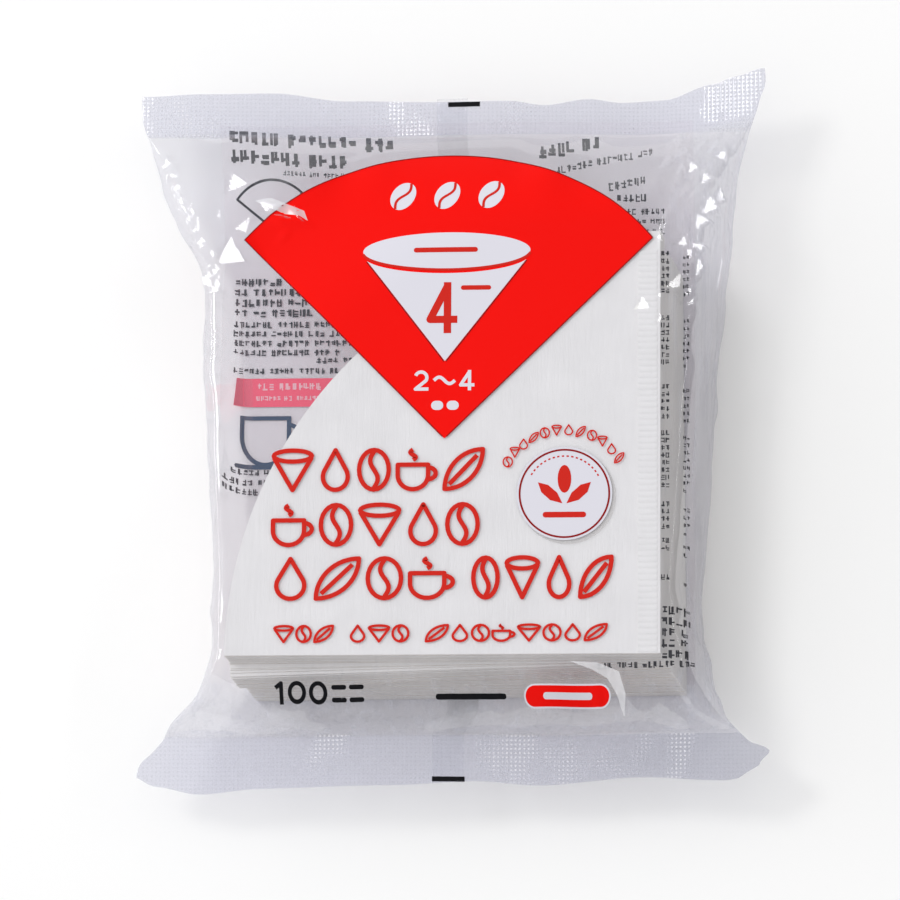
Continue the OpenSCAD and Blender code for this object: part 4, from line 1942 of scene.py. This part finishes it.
@dataclass
class Studio:
    """Floor, lamps and camera."""

    tilt: float = 13.58
    swing: float = 3.59
    roll: float = 0.39
    distance: float = 2.2
    px_per_mm: float = 3.362
    frame_px: float = 900.0
    offset_right: float = -0.43
    offset_up: float = -3.83
    floor_r: float = 4.0
    floor_z: float = -0.0003
    floor_colour: tuple[float, float, float] = (0.97, 0.97, 0.97)
    sky: float = 0.56
    sky_lean: float = 0.56
    sky_least: float = 0.05
    sky_side: tuple[float, float, float] = (-0.80, 0.08, 0.60)

    def camera(self, form: FilmForm) -> None:
        """Sets the camera at the photograph's angle.

        Args:
            form: The film's form, which gives the middle of the pack.
        """
        data = bpy.data.cameras.new("camera")
        data.sensor_width = 36.0
        seen = self.frame_px / self.px_per_mm * MM
        data.lens = data.sensor_width * self.distance / seen
        data.clip_start, data.clip_end = 0.05, 20.0
        camera = bpy.data.objects.new("camera", data)
        tilt, swing, roll = (math.radians(a) for a in (self.tilt, self.swing, self.roll))
        back = Vector((math.sin(swing) * math.cos(tilt), -math.sin(tilt),
                       math.cos(swing) * math.cos(tilt)))
        level = Vector((math.cos(swing), 0, -math.sin(swing)))
        steep = back.cross(level)
        right = level * math.cos(roll) + steep * math.sin(roll)
        up = steep * math.cos(roll) - level * math.sin(roll)
        centre = Vector((0, 0, form.z_mid * MM))
        centre += right * self.offset_right * MM + up * self.offset_up * MM
        turn = Matrix((right, up, back)).transposed()
        camera.matrix_world = Matrix.Translation(centre + back * self.distance) @ turn.to_4x4()
        bpy.context.scene.collection.objects.link(camera)
        bpy.context.scene.camera = camera

    def floor(self) -> None:
        """Lays the plain pale floor."""
        material, sheet, surface = new_material("floor")
        ground = sheet.add("ShaderNodeBsdfDiffuse", Color=self.floor_colour)
        sheet.join(ground.outputs[0], surface)
        mesh = bpy.data.meshes.new("floor")
        r, z = self.floor_r, self.floor_z
        mesh.from_pydata([(-r, -r, z), (r, -r, z), (r, r, z), (-r, r, z)], [], [(0, 1, 2, 3)])
        mesh.materials.append(material)
        floor = bpy.data.objects.new("floor", mesh)
        bpy.context.scene.collection.objects.link(floor)

    def world(self) -> None:
        """Sets the surrounding light, a little stronger from the upper left."""
        world = bpy.data.worlds.new("studio")
        bpy.context.scene.world = world
        world.use_nodes = True
        world.node_tree.nodes.clear()
        sheet = NodeSheet(world.node_tree)
        output = sheet.add("ShaderNodeOutputWorld")
        place = sheet.add("ShaderNodeTexCoord")
        side = sheet.add("ShaderNodeVectorMath", operation="DOT_PRODUCT")
        sheet.join(place.outputs["Generated"], side.inputs[0])
        sheet.feed(side.inputs[1], self.sky_side)
        level = sheet.math("MULTIPLY_ADD", side.outputs["Value"], self.sky_lean, self.sky)
        glow = sheet.add("ShaderNodeBackground", Color=(1.0, 1.0, 1.0),
                         Strength=sheet.math("MAXIMUM", level, self.sky_least))
        sheet.join(glow.outputs[0], output.inputs["Surface"])

    def build(self, form: FilmForm) -> None:
        """Makes the whole studio.

        Args:
            form: The film's form, which gives the middle of the pack.
        """
        bpy.context.scene.view_settings.view_transform = "Standard"
        self.camera(form)
        self.floor()
        self.world()
        for box in SOFT_BOXES:
            box.build()


def dress_filters(paper: bpy.types.Material) -> None:
    """Gives every packed filter its paper.

    Args:
        paper: The crepe paper.
    """
    for name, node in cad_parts.items():
        if "filter" not in name:
            continue
        node.data.materials.clear()
        node.data.materials.append(paper)
        LOG.info("%s: dressed in paper", name)


# The folds of the front sheet that were placed one by one.
PLACED_CREASES = (
    (-47, 64, -16, 20, 3.0, 0.9), (-58, 56, -50, 20, 3.0, 0.7), (-36, 80, 22, 26, 4.0, 0.6),
    (64, 74, 68, 26, 4.0, 0.8), (68, 56, 80, 26, 3.4, 0.9), (-62, -79.6, 0, 18, 1.2, 0.4),
    (-61.5, -60, 84, 20, 1.3, 0.4), (-64.5, -30, 88, 40, 1.5, 0.3),
    (55, -78, -76, 18, 2.4, 0.8), (66, -84, -48, 30, 3.0, 0.9), (72, -80, -56, 26, 2.4, 0.7),
)
# The strewn ones: seed, count, corners, then ranges of turn, length, width and height.
STREWN_CREASES = (
    (20, 18, (64, 34), (80, 90), (40, 100), (5, 12), (1.0, 2.2), (0.25, 0.6)),
    (21, 10, (-76, 40), (-44, 90), (-30, 80), (6, 12), (1.2, 2.4), (0.15, 0.4)),
    (22, 34, (-80, -90), (80, -80), (55, 125), (4, 10), (1.2, 2.4), (0.2, 0.5)),
)
FLANK_CREASES = (23, 22, (2, -60), (33, 90), (20, 160), (10, 34), (2.5, 6.0), (0.3, 0.9))
# The facets that catch the light: x, y, size, turn and stretch.
PLACED_FACETS = (
    (-64.3, 76.0, 7.4, 200, 1.2), (-65.6, 53.2, 11.0, 180, 1.0), (-71.2, 45.6, 9.0, 150, 1.1),
    (-54.6, 68.2, 4.6, -14, 2.0), (-47.2, 65.6, 4.2, 160, 1.9), (-61.6, 61.9, 5.4, 28, 1.6),
    (-69.2, 65.4, 3.0, 40, 1.0), (72.0, 79.6, 4.4, 85, 1.5), (80.9, 83.9, 4.8, 30, 1.1),
    (76.2, 75.6, 4.6, 75, 1.1), (80.0, 70.2, 5.4, 58, 1.4), (77.2, 66.4, 6.8, 62, 1.4),
    (74.2, 61.2, 6.6, 205, 1.2), (72.4, 52.4, 8.4, 100, 1.1), (74.0, 47.6, 5.0, 84, 1.9),
    (69.4, 55.0, 4.6, 45, 1.2), (67.0, 42.4, 5.0, 35, 1.8), (71.0, 39.6, 3.2, 25, 2.3),
    (71.8, 36.6, 3.2, 22, 2.3), (57.5, 35.8, 5.8, 60, 1.0), (62.6, 31.4, 3.2, 70, 1.2),
)


def film_creases() -> list[Crease]:
    """Lists the folds of the front sheet, given one by one and strewn.

    Returns:
        The folds.
    """
    chosen = [Crease(*values) for values in PLACED_CREASES]
    for values in STREWN_CREASES:
        chosen += scattered_creases(*values)
    return chosen


def lit_slope(x: float, y: float) -> tuple[float, float]:
    """Gives the tilt at which the film mirrors the key light to the front."""
    return 0.3115 + 0.0004 * x, -0.0448 + 0.00041 * y


def film_facets(form: FilmForm) -> list[Facet]:
    """Lists the facets that catch the light where the film is drawn tight.

    Args:
        form: The film's form, for the place of its left edge.

    Returns:
        The facets.
    """
    facets = [Facet(x, y, size, turn, stretch, slope=lit_slope(x, y))
              for x, y, size, turn, stretch in PLACED_FACETS]
    for k, y in enumerate(np.arange(44.0, 88.0, 4.4)):
        edge_x = 3.4 + 0.5 * (k % 3) - float(form.flank(np.array(y), -1))
        facets.append(Facet(edge_x, y, 3.1, 70 + 9 * (k % 4), 2.6, slope=lit_slope(edge_x, y)))
    return facets


def main() -> None:
    """Builds the pack in order."""
    form = FilmForm(creases=film_creases(),
                    flank_creases=scattered_creases(*FLANK_CREASES))
    form.facets = film_facets(form)
    grain = grain_group()
    bag = FilmBag(form)
    bag.build(ClearFilm().build(grain, form))
    BackFin(form).build(FIN_FILM.build(grain, form))
    FilmFoldsAndHighlights().build(bag, FOLDED_FILM_AND_HIGHLIGHT.build(grain, form))
    dress_filters(FilterPaper().build(grain))
    inks = {tone: ink.build(grain) for tone, ink in INKS.items()}
    FrontPrint().build(bag, inks)
    EyeMarks().build(bag, inks[Tone.DARK])
    BackPrint().build(bag, inks)
    Studio().build(form)


if __name__ == "__main__":
    main()
